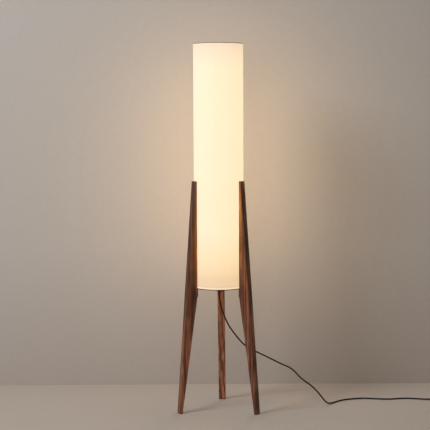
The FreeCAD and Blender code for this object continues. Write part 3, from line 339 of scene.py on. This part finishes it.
def lit_cloth(name, glow_share, albedo):
    """Cream linen lit through from inside: dimmer at the two open ends, thicker threads a touch darker, and
    painted light that leaves its left side whiter and its right side warmer.
    """
    finish = Finish(name, Roughness=0.88, Sheen_Weight=0.12, Specular_IOR_Level=0.2, Emission_Strength=1.0)
    low, high = (corner.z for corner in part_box("shade_fabric"))
    height, slub = weave_height(finish, THREAD_PITCH)
    z = finish.along(finish.place(), "Z")
    up = finish.span(z, low, high)
    glow = finish.ramp(up, *((spot, shade_of(colour, glow_share)) for spot, colour in GLOW_UP_THE_SHADE))
    inward = finish.math("MINIMUM", finish.math("SUBTRACT", z, low), finish.math("SUBTRACT", high, z))
    from_fold = finish.math("ABSOLUTE", finish.math("SUBTRACT", inward, HEM_FOLD), 0.0)
    thread = finish.span(slub, 0.50, 0.78, 1.0, 0.93)
    fold = finish.span(from_fold, 0.8 * MM, 1.8 * MM, 0.90, 1.0)
    thread = finish.math("MULTIPLY", thread, fold)
    cloud = finish.span(finish.noise(finish.place((9, 9, 5)), 1.0, 2.0), 0.3, 0.7, 0.985, 1.0)
    # Painted light: the glow stays whiter on the left side and turns warmer to the right, a cast of cool
    # light from the left.
    side = finish.span(finish.along(finish.place(), "X"), -0.1, 0.1)
    painted_cool_cast = finish.ramp(side, (0.0, (1, 1, 1, 1)), (0.5, (1, 0.975, 0.91, 1)), (1.0, (1, 0.985, 0.87, 1)))
    glow = finish.mix(1.0, glow, painted_cool_cast, "MULTIPLY")
    finish.feed("Emission Color", finish.mix(1.0, glow, finish.math("MULTIPLY", thread, cloud), "MULTIPLY"))
    thin, thick = shade_of(albedo, 1.06), shade_of(albedo, 0.86)
    finish.feed("Base Color", finish.ramp(slub, (0.45, thin), (0.80, thick)))
    finish.bump(height, 0.0003, 0.4)
    return finish


def binding_cloth():
    """The bound edges: brighter than the cloth at the bottom, and an unlit brown line round the very top."""
    finish = lit_cloth("shade_binding", 1.04, (0.36, 0.31, 0.26, 1))
    low, high = (corner.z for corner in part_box("shade_hems"))
    up = finish.along(finish.place(), "Z")
    lit = finish.shader.inputs["Emission Color"].links[0].from_socket
    bright = finish.span(up, low, low + 6 * MM, 1.22, 1.0)
    dark = finish.span(up, high - 3.6 * MM, high - 2.4 * MM, 1.0, 0.02)
    share = finish.math("MULTIPLY", bright, dark)
    finish.feed("Emission Color", finish.mix(1.0, lit, share, "MULTIPLY"))
    return finish


def webbing(name, colour, pitch):
    """A ribbed narrow band: raised cross ribs every pitch and a fine fuzz."""
    finish = Finish(name, Roughness=0.9, Sheen_Weight=0.25, Specular_IOR_Level=0.2)
    ribs = finish.waves(finish.place(source="UV"), wave_scale(pitch), "X", 0.2, 1.0)
    fuzz = finish.noise(finish.place(), 2600.0, 3.0, 0.7)
    finish.feed("Base Color", finish.ramp(fuzz, (0.35, shade_of(colour, 0.6)), (0.65, shade_of(colour, 1.5))))
    finish.bump(finish.math("ADD", ribs, finish.math("MULTIPLY", fuzz, 0.6)), 0.0002, 0.6)
    return finish


# ---------------------------------------------------------------- plastic, rubber, paint and metal
CHIP_STEP = 8 * MM
CHIP_HALF_WIDE = 1.4 * MM
TRACK_AWAY = 3.2 * MM
TRACK_HALF_WIDE = 0.4 * MM


def moulded(name, colour, grain_scale=1400.0, grain_depth=0.00005, spread=0.08, wear=0.0, **sockets):
    """A moulded or painted finish: a fine spark-eroded grain, a slow mottle, and patches rubbed by wear."""
    finish = Finish(name, **sockets)
    grain = finish.noise(finish.place(), grain_scale, 2.0, 0.6)
    mottle = finish.noise(finish.place(), 55.0, 3.0, 0.55)
    rubbed = finish.noise(finish.place(), 160.0, 4.0, 0.7)
    body = finish.ramp(mottle, (0.3, shade_of(colour, 1 - spread)), (0.7, shade_of(colour, 1 + spread)))
    if wear:
        dust = tuple(c + (0.35 - c) * 0.25 for c in colour[:3]) + (1,)
        body = finish.mix(finish.span(rubbed, 0.56, 0.74, 0.0, wear), body, dust)
    finish.feed("Base Color", body)
    rough = sockets.get("Roughness", 0.5)
    finish.feed("Roughness", finish.span(rubbed, 0.3, 0.7, rough * 0.86, min(1.0, rough * 1.16)))
    finish.bump(grain, grain_depth, 0.5)
    return finish


def metal(name, colour, roughness, stretch=(1, 1, 1), scale=900.0):
    """Bare metal: brush marks along the axis that stretch draws out, over slow stains."""
    finish = Finish(name, Metallic=1.0)
    marks = finish.noise(finish.place(stretch), scale, 3.0, 0.6)
    stains = finish.noise(finish.place(), 60.0, 3.0)
    body = finish.ramp(marks, (0.3, shade_of(colour, 0.82)), (0.7, colour))
    stained = finish.span(stains, 0.5, 0.75, 0.0, 0.3)
    finish.feed("Base Color", finish.mix(stained, body, shade_of(colour, 0.7)))
    finish.feed("Roughness", finish.span(marks, 0.3, 0.7, roughness * 0.8, roughness * 1.3))
    finish.bump(marks, 0.00003, 0.35)
    return finish


def glowing(name, colour, glow, strength, rough):
    """Frosted or milky plastic and glass, lit from inside, with a slight cloudiness in it."""
    finish = Finish(name, Roughness=rough, Emission_Strength=strength)
    cloud = finish.noise(finish.place((1, 1, 0.25)), 38.0, 3.0, 0.55)
    grain = finish.noise(finish.place(), 1800.0, 2.0)
    finish.feed("Emission Color", finish.ramp(cloud, (0.25, shade_of(glow, 0.88)), (0.75, glow)))
    finish.feed("Base Color", finish.ramp(cloud, (0.25, shade_of(colour, 0.94)), (0.75, colour)))
    finish.bump(grain, 0.00004, 0.3)
    return finish


def strip_board():
    """A white board with a yellow chip every 8 mm and the copper tracks between them."""
    finish = Finish("strip_board", Roughness=0.4)
    up = finish.along(finish.place(), "Z")
    side = finish.math("ABSOLUTE", finish.along(finish.place(), "X"), 0.0)
    step = finish.math("FRACT", finish.math("DIVIDE", up, CHIP_STEP), 0.0)
    off = finish.math("ABSOLUTE", finish.math("SUBTRACT", step, 0.5), 0.0)
    chip = finish.math("LESS_THAN", off, 0.18)
    chip = finish.math("MULTIPLY", chip, finish.math("LESS_THAN", side, CHIP_HALF_WIDE))
    from_track = finish.math("ABSOLUTE", finish.math("SUBTRACT", side, TRACK_AWAY), 0.0)
    track = finish.math("LESS_THAN", from_track, TRACK_HALF_WIDE)
    body = finish.mix(track, (0.78, 0.78, 0.74, 1), (0.62, 0.60, 0.50, 1))
    finish.feed("Base Color", finish.mix(chip, body, (0.85, 0.68, 0.12, 1)))
    finish.bump(finish.math("ADD", chip, finish.math("MULTIPLY", track, 0.2)), 0.0003, 0.6)
    return finish


# ---------------------------------------------------------------- cord
CORD = 6 * MM
CORD_ROUTE = [
    (0, 0, 471), (0, 0, 445), (15, 0, 392), (36, 1, 343), (67, 4, 299), (102, 7, 258), (150, 12, 232),
    (198, 16, 209), (245, 20, 184), (294, 25, 163), (329, 28, 121), (373, 37, 90), (405, 50, 53),
    (436, 73, 7), (464, 114, 3), (496, 161, 3), (543, 188, 3), (595, 203, 3), (647, 191, 3),
    (700, 186, 3), (752, 207, 3), (800, 205, 3), (838, 193, 3), (862, 188, 4.2), (886, 188, 4.2),
]
COIL_CENTRE = (1010, 147)
COIL_OUTER = 41
COIL_INNER = 25
COIL_LOW = 4.2
COIL_HIGH = 10.7
HALF_TURNS_IN = 4
HALF_TURNS = 8.5
POINTS_A_HALF_TURN = 6


def coil_route():
    """Twelve points a turn: inwards on the floor, up a layer in one half turn, outwards on top."""
    step = math.pi / POINTS_A_HALF_TURN
    angle = (np.arange(round(HALF_TURNS * POINTS_A_HALF_TURN)) + 0.5) * step
    half = angle / math.pi
    inward = HALF_TURNS_IN
    pitch = (COIL_OUTER - COIL_INNER) / inward
    turns_out = np.where(half < inward, inward - half, np.maximum(0, half - inward - 1))
    away = COIL_INNER + pitch * turns_out
    away = away / math.cos(step / 2)
    climb = np.clip(half - inward, 0, 1)
    level = COIL_LOW + (COIL_HIGH - COIL_LOW) * climb**2 * (3 - 2 * climb)
    x = COIL_CENTRE[0] + away * np.sin(angle)
    y = COIL_CENTRE[1] + away * np.cos(angle)
    start, end = COIL_CENTRE[1] + COIL_OUTER, COIL_CENTRE[0] + COIL_INNER + pitch * (HALF_TURNS - inward - 1)
    lead = [(986, start, COIL_LOW), (992, start, COIL_LOW), (999, start, COIL_LOW)]
    tail = [(end, 136.5, COIL_HIGH), (end, 126, 8.85), (end, 115.5, 7), (end, 110, 7), (end, 105, 7)]
    return lead + list(zip(x, y, level)) + tail


def cord_piece(name, route, node):
    """A round cord along one open spline, whose points are the route's; a point's radius is the cord's."""
    curve = bpy.data.curves.new(name, "CURVE")
    curve.dimensions = "3D"
    spline = curve.splines.new("NURBS")
    spline.points.add(len(route) - 1)
    for point, spot in zip(spline.points, route):
        point.co = (*(c * MM for c in spot), 1)
        point.radius = CORD / 2
    spline.order_u = 3
    spline.use_endpoint_u = True
    spline.resolution_u = 8
    curve.bevel_depth = 1.0
    curve.bevel_resolution = 5
    curve.use_fill_caps = True
    piece = bpy.data.objects.new(name, curve)
    bpy.context.scene.collection.objects.link(piece)
    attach(piece, "stand")
    return stand_in(piece, node)


# ---------------------------------------------------------------- shade
GIRTH_POINTS = 240
CLOTH_THICK = 0.3 * MM
OVERLAP_WIDE = 14 * MM
OVERLAP_PROUD = 0.4 * MM
FOLD_DEPTH = 0.15 * MM
FOLD_WIDE = 0.6 * MM
BINDING_HALF_TALL = 2.5 * MM
BINDING_POINTS = 28  # round the binding's section
STITCHES = 157


def make_cloth():
    """Cloth: a thin tube x = r cos t, y = r sin t, with the joint's overlap, 0.4 mm proud, at the back.

    A stitched fold runs round it near each edge: a groove r = R - a exp(-(d / w)^2), d away from the fold."""
    low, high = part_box("shade_fabric")
    outer = high.x
    turn = np.linspace(0, 2 * np.pi, GIRTH_POINTS, endpoint=False) + np.pi / 2
    past_joint = (turn - np.pi / 2) * outer - OVERLAP_WIDE
    overlap = OVERLAP_PROUD / 2 * (1 - np.tanh(past_joint / (1.2 * MM)))
    folds = [low.z + HEM_FOLD, high.z - HEM_FOLD]
    close = np.linspace(-1.6, 1.6, 9) * MM
    rise = np.sort(np.concatenate([np.linspace(low.z, high.z, 60), *(fold + close for fold in folds)]))
    groove = FOLD_DEPTH * sum(np.exp(-(((rise - fold) / FOLD_WIDE) ** 2)) for fold in folds)
    outside = outer - OVERLAP_PROUD + overlap[None, :] - groove[:, None]
    inside = np.full((len(rise), len(turn)), outer - OVERLAP_PROUD - CLOTH_THICK)
    radius = np.concatenate([outside, inside])
    levels = np.concatenate([rise, rise[::-1]])[:, None]
    spots = [radius * np.cos(turn), radius * np.sin(turn), np.broadcast_to(levels, radius.shape)]
    points = np.stack(spots, -1).reshape(-1, 3)
    uv = np.stack([np.tile((turn - turn[0]) * outer, len(radius)), points[:, 2]], -1)
    faces = grid_faces(len(radius), len(turn), wrap_rows=True, wrap_columns=True)
    cloth = new_piece("shade_cloth", points, faces, "shade", uv, 2 * math.pi * outer)
    return stand_in(cloth, "shade_fabric")


def make_hems():
    """Bound edges: a strip whose section is a long oval hooked over the cloth's edge, r = R + a cos s."""
    low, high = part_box("shade_hems")
    outer, edge = high.x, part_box("shade_fabric")[1].x
    turn = np.linspace(0, 2 * np.pi, GIRTH_POINTS, endpoint=False)
    spin = np.linspace(0, 2 * np.pi, BINDING_POINTS, endpoint=False)
    middle, half_thick = (outer + edge) / 2, (outer - edge) / 2
    square = np.sign(np.sin(spin)) * np.abs(np.sin(spin)) ** 0.5
    stitches = 0.12 * MM * np.maximum(0, np.cos(turn * STITCHES)) ** 3
    lay = np.exp(-((spin - 0.3) ** 2) / 0.02)[:, None] * -stitches[None, :]
    radius = middle + half_thick * np.cos(spin)[:, None] + lay
    ring = grid_faces(BINDING_POINTS, GIRTH_POINTS, wrap_rows=True, wrap_columns=True)
    parts = []
    for level in (low.z + BINDING_HALF_TALL, high.z - BINDING_HALF_TALL):
        levels = np.broadcast_to((level + BINDING_HALF_TALL * square)[:, None], radius.shape)
        spots = [radius * np.cos(turn), radius * np.sin(turn), levels]
        parts.append((np.stack(spots, -1).reshape(-1, 3), ring))
    points, faces = gathered(parts)
    uv = np.stack([np.tile(turn * outer, len(parts) * BINDING_POINTS), points[:, 2]], -1)
    piece = new_piece("shade_bindings", points, faces, "shade", uv, 2 * math.pi * outer)
    return stand_in(piece, "shade_hems")


# ---------------------------------------------------------------- small turned pieces, sizes in millimetres
SWITCH_ENDS = [((906, 188, 4.2), (-1, 0, 0)), ((966, 188, 4.2), (1, 0, 0))]
PLUG_BACK = (1049, 81, 7)
GLAND_TOP = 507.7
GLAND_POINTS = 96  # round the gland
BUTTON_SPOT = (0.936, 0.188, 0.02)  # in metres
BUTTON_RINGS = (4.0, 7.0, 10.0)
LEG_DIRECTIONS = (90, 210, 330)
BOLT_LEVELS = (475, 489)
BOLT_HEAD_AWAY = 100.6
TIE_THICK = 0.8


def ribbed_sleeve(spot, heading, length, wide, narrow, ribs, bore=2.9):
    """Kink guard: r falls in a line from wide to narrow, cut by rings, with a rounded lip at each end."""
    s = np.linspace(0, 1, ribs * 10 + 1)
    body = wide + (narrow - wide) * s
    inside = (s > 0.14) & (s < 0.93)
    cuts = np.where(inside, 0.55 * np.clip(np.sin(2 * np.pi * ribs * s), 0, 1) ** 0.6, 0)
    lip = 0.35 * (np.exp(-s * length / 0.35) + np.exp(-(1 - s) * length / 0.35))
    radii = np.concatenate([[bore], body - cuts - lip, [bore]]) * MM
    heights = np.concatenate([[0], s * length, [length]]) * MM
    return turned(heights, radii, np.array(spot) * MM, heading, 40)


def make_reliefs():
    """The switch's kink guards, one ribbed sleeve at each end."""
    guards = [ribbed_sleeve(spot, heading, 20, 4.2, 3.4, 5) for spot, heading in SWITCH_ENDS]
    piece = new_piece("switch_kink_guards", *gathered(guards), "stand")
    return stand_in(piece, "switch_reliefs")


def make_plug_relief():
    """The plug's kink guard, a longer ribbed sleeve."""
    guard = ribbed_sleeve(PLUG_BACK, (0, 1, 0), 24, 5.2, 3.4, 6)
    return stand_in(new_piece("plug_kink_guard", *guard, "stand"), "plug_relief")


def make_gland():
    """Gland: a stem, a collar with twenty-four grip flutes, r = R - 0.5 cos^2(12 t), and a ribbed tip."""
    flute = 8 - 0.5 * np.cos(12 * np.linspace(0, 2 * np.pi, GLAND_POINTS, endpoint=False)) ** 2
    stem = np.linspace(0, 1, 33)
    thread = 5 - 0.25 * (1 + np.cos(2 * np.pi * stem * 8)) / 2
    heights = [GLAND_TOP, *(GLAND_TOP - 10.1 * stem), 497.6, 497.5, 495.2, 495.0]
    radii = [3.3, *thread, 7.6, *[flute] * 2, 7.2]
    s = np.linspace(0, 1, 71)
    ribs = np.where((s > 0.1) & (s < 0.94), 0.5 * np.clip(np.sin(2 * np.pi * 7 * s), 0, 1) ** 0.6, 0)
    heights = [*heights, *(495 - 24 * s), 471]
    radii = [*radii, *(6 - 1.9 * s - ribs), 3.3]
    downwards = (GLAND_TOP - np.array(heights)) * MM
    radii = [np.array(r) * MM for r in radii]
    points, faces = turned(downwards, radii, (0, 0, GLAND_TOP * MM), (0, 0, -1), GLAND_POINTS)
    return stand_in(new_piece("gland", points, faces, "stand"), "cord_gland")


def make_button():
    """Foot button: a flange, a straight skirt, a rounded rim and a slightly dished top with grip rings."""
    away = np.linspace(12.2, 0.4, 70)
    rings = sum(np.exp(-(((away - centre) / 0.35) ** 2)) for centre in BUTTON_RINGS)
    top = 24 - 0.5 * (1 - (away / 12.2) ** 2) - 0.35 * rings
    rim = np.linspace(0, np.pi / 2, 8)
    radii = [14.7, 15, 15, 14.7, 13.2, 13.2, *(12.2 + np.cos(rim)), *away[1:]]
    heights = [15.7, 15.9, 17.5, 17.7, 17.7, 20.0, *(23.0 + np.sin(rim)), *top[1:]]
    upwards = np.array(heights) * MM - BUTTON_SPOT[2]
    points, faces = turned(upwards, np.array(radii) * MM, BUTTON_SPOT, (0, 0, 1), 72)
    return stand_in(new_piece("foot_button", points, faces, "button"), "switch_button")


def make_spring():
    """Coil spring: a round wire on x = R cos a, y = R sin a, its turns shut at both ends, open between."""
    low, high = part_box("switch_spring")
    wire, turns, shut, sides = 0.3 * MM, 4.5, 0.62 * MM, 12
    middle, reach = (low + high) / 2, (high.x - low.x) / 2 - wire
    turn = np.linspace(0, turns, round(turns * 40) + 1)
    open_share = np.clip((np.minimum(turn, turns - turn) - 0.9) / 0.3, 0, 1).cumsum()
    room = high.z - low.z - 2 * wire - shut * turns
    z = low.z + wire + shut * turn + room * open_share / open_share[-1]
    a = turn * 2 * np.pi
    line = np.stack([middle.x + reach * np.cos(a), middle.y + reach * np.sin(a), z], -1)
    along = np.gradient(line, axis=0)
    along /= np.linalg.norm(along, axis=1, keepdims=True)
    out = np.stack([np.cos(a), np.sin(a), np.zeros_like(a)], -1)
    side = np.cross(along, out)
    t = np.linspace(0, 2 * np.pi, sides, endpoint=False)[None, :, None]
    rings = line[:, None] + wire * (np.cos(t) * out[:, None] + np.sin(t) * side[:, None])
    points = np.concatenate([line[:1], rings.reshape(-1, 3), line[-1:]])
    spring = new_piece("button_spring", points, capped_faces(len(line), sides), "stand")
    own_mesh(spring)
    return stand_in(spring, "switch_spring")


def make_leg_bolts():
    """Button-head bolts: shank, a thread's ripple, dome r = R cos a, and a six-sided socket in the head."""
    t = np.linspace(0, 2 * np.pi, 48, endpoint=False)
    socket = 2.0 * np.cos(np.pi / 6) / np.cos(np.mod(t, np.pi / 3) - np.pi / 6)
    shank = np.linspace(0, 1, 97)
    thread = 3 - 0.3 * (1 + np.cos(2 * np.pi * shank * 16)) / 2
    dome = np.linspace(0, np.pi / 2 * 0.72, 9)
    heights = [-16, *(-16 + 16 * shank), 0, *(0.5 + 2.8 * np.sin(dome) / np.sin(dome[-1])), 3.2, 1.4]
    radii = [2.2, *thread, 5.1, *(5.25 * np.cos(dome) ** 0.7), socket, socket * 0.96]
    parts = []
    for direction in LEG_DIRECTIONS:
        out = np.array([math.cos(math.radians(direction)), math.sin(math.radians(direction)), 0])
        for level in BOLT_LEVELS:
            spot = out * BOLT_HEAD_AWAY * MM + np.array([0, 0, level * MM])
            parts.append(turned(np.array(heights) * MM, [np.array(r) * MM for r in radii], spot, -out))
    return stand_in(new_piece("leg_bolt_set", *gathered(parts), "stand"), "leg_bolts")


def make_coil_tie():
    """Tie: a flat strap round the coil, x and z along a superellipse, with its free end lapped over."""
    low, high = (np.array(corner) * 1000 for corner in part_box("coil_tie"))
    middle, half = (low + high) / 2, (high - low) / 2
    s = np.linspace(0, 2 * np.pi, 96, endpoint=False)
    width = np.linspace(-1, 1, 15)
    rows = []
    for inset in (0.0, TIE_THICK):
        wide, tall = half[0] - inset, half[2] - inset
        x = wide * np.sign(np.cos(s)) * np.abs(np.cos(s)) ** 0.25
        z = tall * np.sign(np.sin(s)) * np.abs(np.sin(s)) ** 0.25
        rows.append(np.stack([x, z], -1))
    lap = np.exp(-(((s - 1.2) / 0.42) ** 4))[:, None] * np.array([0, -0.35])
    rows[0] = rows[0] + lap
    section = []
    for side, row in ((-1, rows[0]), (1, rows[1])):
        for w in width[::side]:
            y = middle[1] + half[1] * w
            section.append(np.stack([middle[0] + row[:, 0], np.full(len(s), y), middle[2] + row[:, 1]], -1))
    points = np.stack(section).reshape(-1, 3) * MM
    faces = grid_faces(len(section), len(s), wrap_rows=True, wrap_columns=True)
    closed = np.concatenate([rows[0], rows[0][:1]])
    step = np.concatenate([[0], np.cumsum(np.linalg.norm(np.diff(closed, axis=0), axis=1))]) * MM
    uv = np.stack([np.tile(step[:-1], len(section)), points[:, 1]], -1)
    return stand_in(new_piece("coil_strap", points, faces, "stand", uv, step[-1]), "coil_tie")


# ---------------------------------------------------------------- stage and light
FLOOR_HALF = 9
WALL_BEHIND = 0.47
WALL_HALF_WIDE = 5
WALL_HIGH = 4
WALL_TURN = math.radians(CAMERA_HEADING)
WARM = (1.0, 0.62, 0.28)
AMBER = (1.0, 0.60, 0.16)
GLOW_AWAY = 0.104  # the glow strips' distance from the lamp's axis
GLOW_WIDE = 0.066
GLOW_STRIPS = [  # direction in degrees, power in watts, colour
    (30, 0.62, WARM),
    (62, 0.62, WARM),
    (118, 0.62, WARM),
    (150, 0.62, WARM),
    (240, 0.50, AMBER),
    (270, 0.50, WARM),
    (300, 0.50, AMBER),
]


def make_stage():
    """A pale floor and, behind the lamp, a wall seen only from its front, so that it hides no other view."""
    square = np.array([(-1, -1, 0), (1, -1, 0), (1, 1, 0), (-1, 1, 0)], float)
    floor = new_piece("floor", square * FLOOR_HALF, [[0, 1, 2, 3]], None)
    dress(moulded("floor_paint", (0.60, 0.535, 0.475, 1), 90.0, 0.0001, 0.015, Roughness=0.7), floor)
    across = np.array([math.cos(WALL_TURN), math.sin(WALL_TURN), 0])
    foot = np.array([-math.sin(WALL_TURN), math.cos(WALL_TURN), 0]) * WALL_BEHIND
    corners = [
        foot + side * across * WALL_HALF_WIDE + np.array([0, 0, level])
        for side, level in ((-1, 0), (1, 0), (1, WALL_HIGH), (-1, WALL_HIGH))
    ]
    wall = new_piece("wall", corners, [[0, 1, 2, 3]], None)
    paint = moulded("wall_paint", (0.60, 0.575, 0.555, 1), 90.0, 0.0001, 0.015, Roughness=0.85)
    plain = paint.shader.inputs["Base Color"].links[0].from_socket
    # Painted shade: the wall darker and warmer towards the floor.
    up = paint.span(paint.along(paint.place(), "Z"), 0.0, 0.6)
    painted_shade_to_floor = paint.ramp(up, (0.0, (0.92, 0.865, 0.82, 1)), (1.0, (1.04, 1.02, 0.99, 1)))
    paint.feed("Base Color", paint.mix(1.0, plain, painted_shade_to_floor, "MULTIPLY"))
    behind = paint.node("NewGeometry").outputs["Backfacing"]
    clear = paint.node("BsdfTransparent").outputs["BSDF"]
    both = paint.node("MixShader", {"Fac": behind})
    paint.tree.links.new(paint.shader.outputs["BSDF"], both.inputs[1])
    paint.tree.links.new(clear, both.inputs[2])
    paint.tree.links.new(both.outputs["Shader"], paint.tree.nodes["Material Output"].inputs["Surface"])
    dress(paint, wall)
    wall.visible_shadow = False


def area_light(name, place, aim, size, power, colour):
    """A rectangular light that the camera doesn't see, aimed from its place at a point."""
    light = bpy.data.lights.new(name, "AREA")
    light.shape = "RECTANGLE"
    light.size, light.size_y = size
    light.energy = power
    light.color = colour
    lamp = bpy.data.objects.new(name, light)
    bpy.context.scene.collection.objects.link(lamp)
    lamp.location = place
    lamp.rotation_mode = "QUATERNION"
    lamp.rotation_quaternion = Vector(np.subtract(aim, place)).to_track_quat("-Z", "Y")
    lamp.visible_camera = False


def make_light():
    """Soft studio light, and narrow strips just outside the shade that carry its glow to wall and legs."""
    world = bpy.data.worlds.new("studio")
    bpy.context.scene.world = world
    world.use_nodes = True
    sky = world.node_tree.nodes["Background"]
    sky.inputs["Color"].default_value = (1.0, 0.94, 0.88, 1)
    sky.inputs["Strength"].default_value = 0.17
    area_light("window", (-2.7, -2.3, 3.4), (-0.5, 0.3, 1.6), (1.6, 1.6), 76, (0.93, 0.96, 1.0))
    area_light("front", (-0.6, -4.6, 1.6), (0, 0, 0.2), (2.5, 1.6), 26, (1.0, 0.96, 0.92))
    area_light("rear", (1.5, 4.5, 2.6), (0, 0, 0.6), (2.5, 2.0), 22, (1.0, 0.97, 0.94))
    low, high = (corner.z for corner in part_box("shade_fabric"))
    size = (GLOW_WIDE, high - low - 0.02)
    for turn, power, colour in GLOW_STRIPS:
        out = np.array([math.cos(math.radians(turn)), math.sin(math.radians(turn)), 0])
        place = out * GLOW_AWAY + np.array([0, 0, (low + high) / 2])
        area_light("glow_%d" % turn, place, place + out, size, power, colour)


# ---------------------------------------------------------------- finishes on pieces
def finish_nodes(pieces):
    """A material for each new piece and each CAD node that shows."""
    for leg, tone_and_shade_stops in LEG_TONES_AND_PAINTED_SHADE.items():
        dress(walnut("walnut_" + leg, tone_and_shade_stops, LEG_PAINTED_GLOW[leg]), leg)
    black = moulded("black_plastic", (0.020, 0.020, 0.021, 1), wear=0.25, Roughness=0.5)
    dress(black, pieces["gland"], pieces["reliefs"], pieces["plug_relief"])
    dress(black, "switch_base", "switch_cover", "plug_body")
    white = moulded("white_plastic", (0.76, 0.75, 0.71, 1), 1800.0, wear=0.2, Roughness=0.42)
    dress(white, "terminal_box", "terminal_lid", "terminal_block", "switch_unit")
    dress(white, "lower_holder", "upper_holder", "lower_rotor", "upper_rotor")
    rubber = moulded("rubber", (0.016, 0.016, 0.016, 1), 2400.0, 0.0001, wear=0.5, Roughness=0.8)
    dress(rubber, "foot_glides")
    button = moulded("button_plastic", (0.055, 0.054, 0.052, 1), 1000.0, wear=0.45, Roughness=0.42)
    dress(button, pieces["button"])
    jacket = moulded(
        "cord_jacket", (0.0075, 0.0075, 0.008, 1), 900.0, 0.00004, 0.2, 0.12,
        Roughness=0.52, Specular_IOR_Level=0.3,
    )
    dress(jacket, pieces["cord"], pieces["coil"], "lead_in")
    dress(moulded("wire_insulation", linear(120, 70, 40), Roughness=0.4), "lamp_wires")
    steel = moulded("black_steel", (0.050, 0.032, 0.023, 1), 3000.0, 0.00006, Roughness=0.55)
    dress(steel, "base_frame", "spine_foot", "top_bracket")
    wire = moulded("white_wire", (0.74, 0.72, 0.66, 1), 2500.0, wear=0.3, Roughness=0.35)
    dress(wire, "shade_top_ring", "shade_bottom_ring", "top_spider")
    zinc = metal("zinc", (0.62, 0.63, 0.64, 1), 0.34)
    dress(zinc, pieces["bolts"], pieces["spring"], "gland_nut", "locating_pin")
    dress(zinc, "lid_screws", "holder_screws", "spine_screws", "switch_screws")
    dress(metal("brass", (0.75, 0.55, 0.25, 1), 0.3), "leg_inserts", "holder_contacts")
    dress(metal("nickel", (0.72, 0.70, 0.66, 1), 0.2), "tube_pins", "plug_pins")
    dress(metal("aluminium", (0.78, 0.78, 0.79, 1), 0.34, (1, 1, 0.015)), "spine", "tube_caps")
    dress(lit_cloth("shade_cloth", 1.0, (0.19, 0.175, 0.14, 1)), pieces["cloth"])
    dress(binding_cloth(), pieces["hems"])
    dress(glowing("shade_liner", (0.80, 0.76, 0.68, 1), (1.0, 0.82, 0.56, 1), 0.85, 0.5), "shade_liner")
    dress(glowing("frosted_tube", (0.90, 0.88, 0.82, 1), (1.0, 0.88, 0.68, 1), 2.6, 0.4), "tube_glass")
    dress(strip_board(), "led_strip")
    dress(webbing("tie_fabric", (0.030, 0.030, 0.032, 1), 1.1 * MM), pieces["tie"])


def main():
    """Makes the pieces and the room."""
    scene = bpy.context.scene
    scene.view_settings.view_transform = "Standard"
    scene.view_settings.look = "None"
    place_camera()
    pieces = {
        "cord": cord_piece("cord", CORD_ROUTE, "cord_run"),
        "coil": cord_piece("cord_put_away", coil_route(), "cord_coil"),
        "cloth": make_cloth(),
        "hems": make_hems(),
        "reliefs": make_reliefs(),
        "plug_relief": make_plug_relief(),
        "gland": make_gland(),
        "button": make_button(),
        "spring": make_spring(),
        "bolts": make_leg_bolts(),
        "tie": make_coil_tie(),
    }
    finish_nodes(pieces)
    make_stage()
    make_light()

    on_switch = [pieces["reliefs"], pieces["button"], pieces["spring"]]
    on_switch += [nodes["switch_base"], nodes["switch_cover"]]


main()
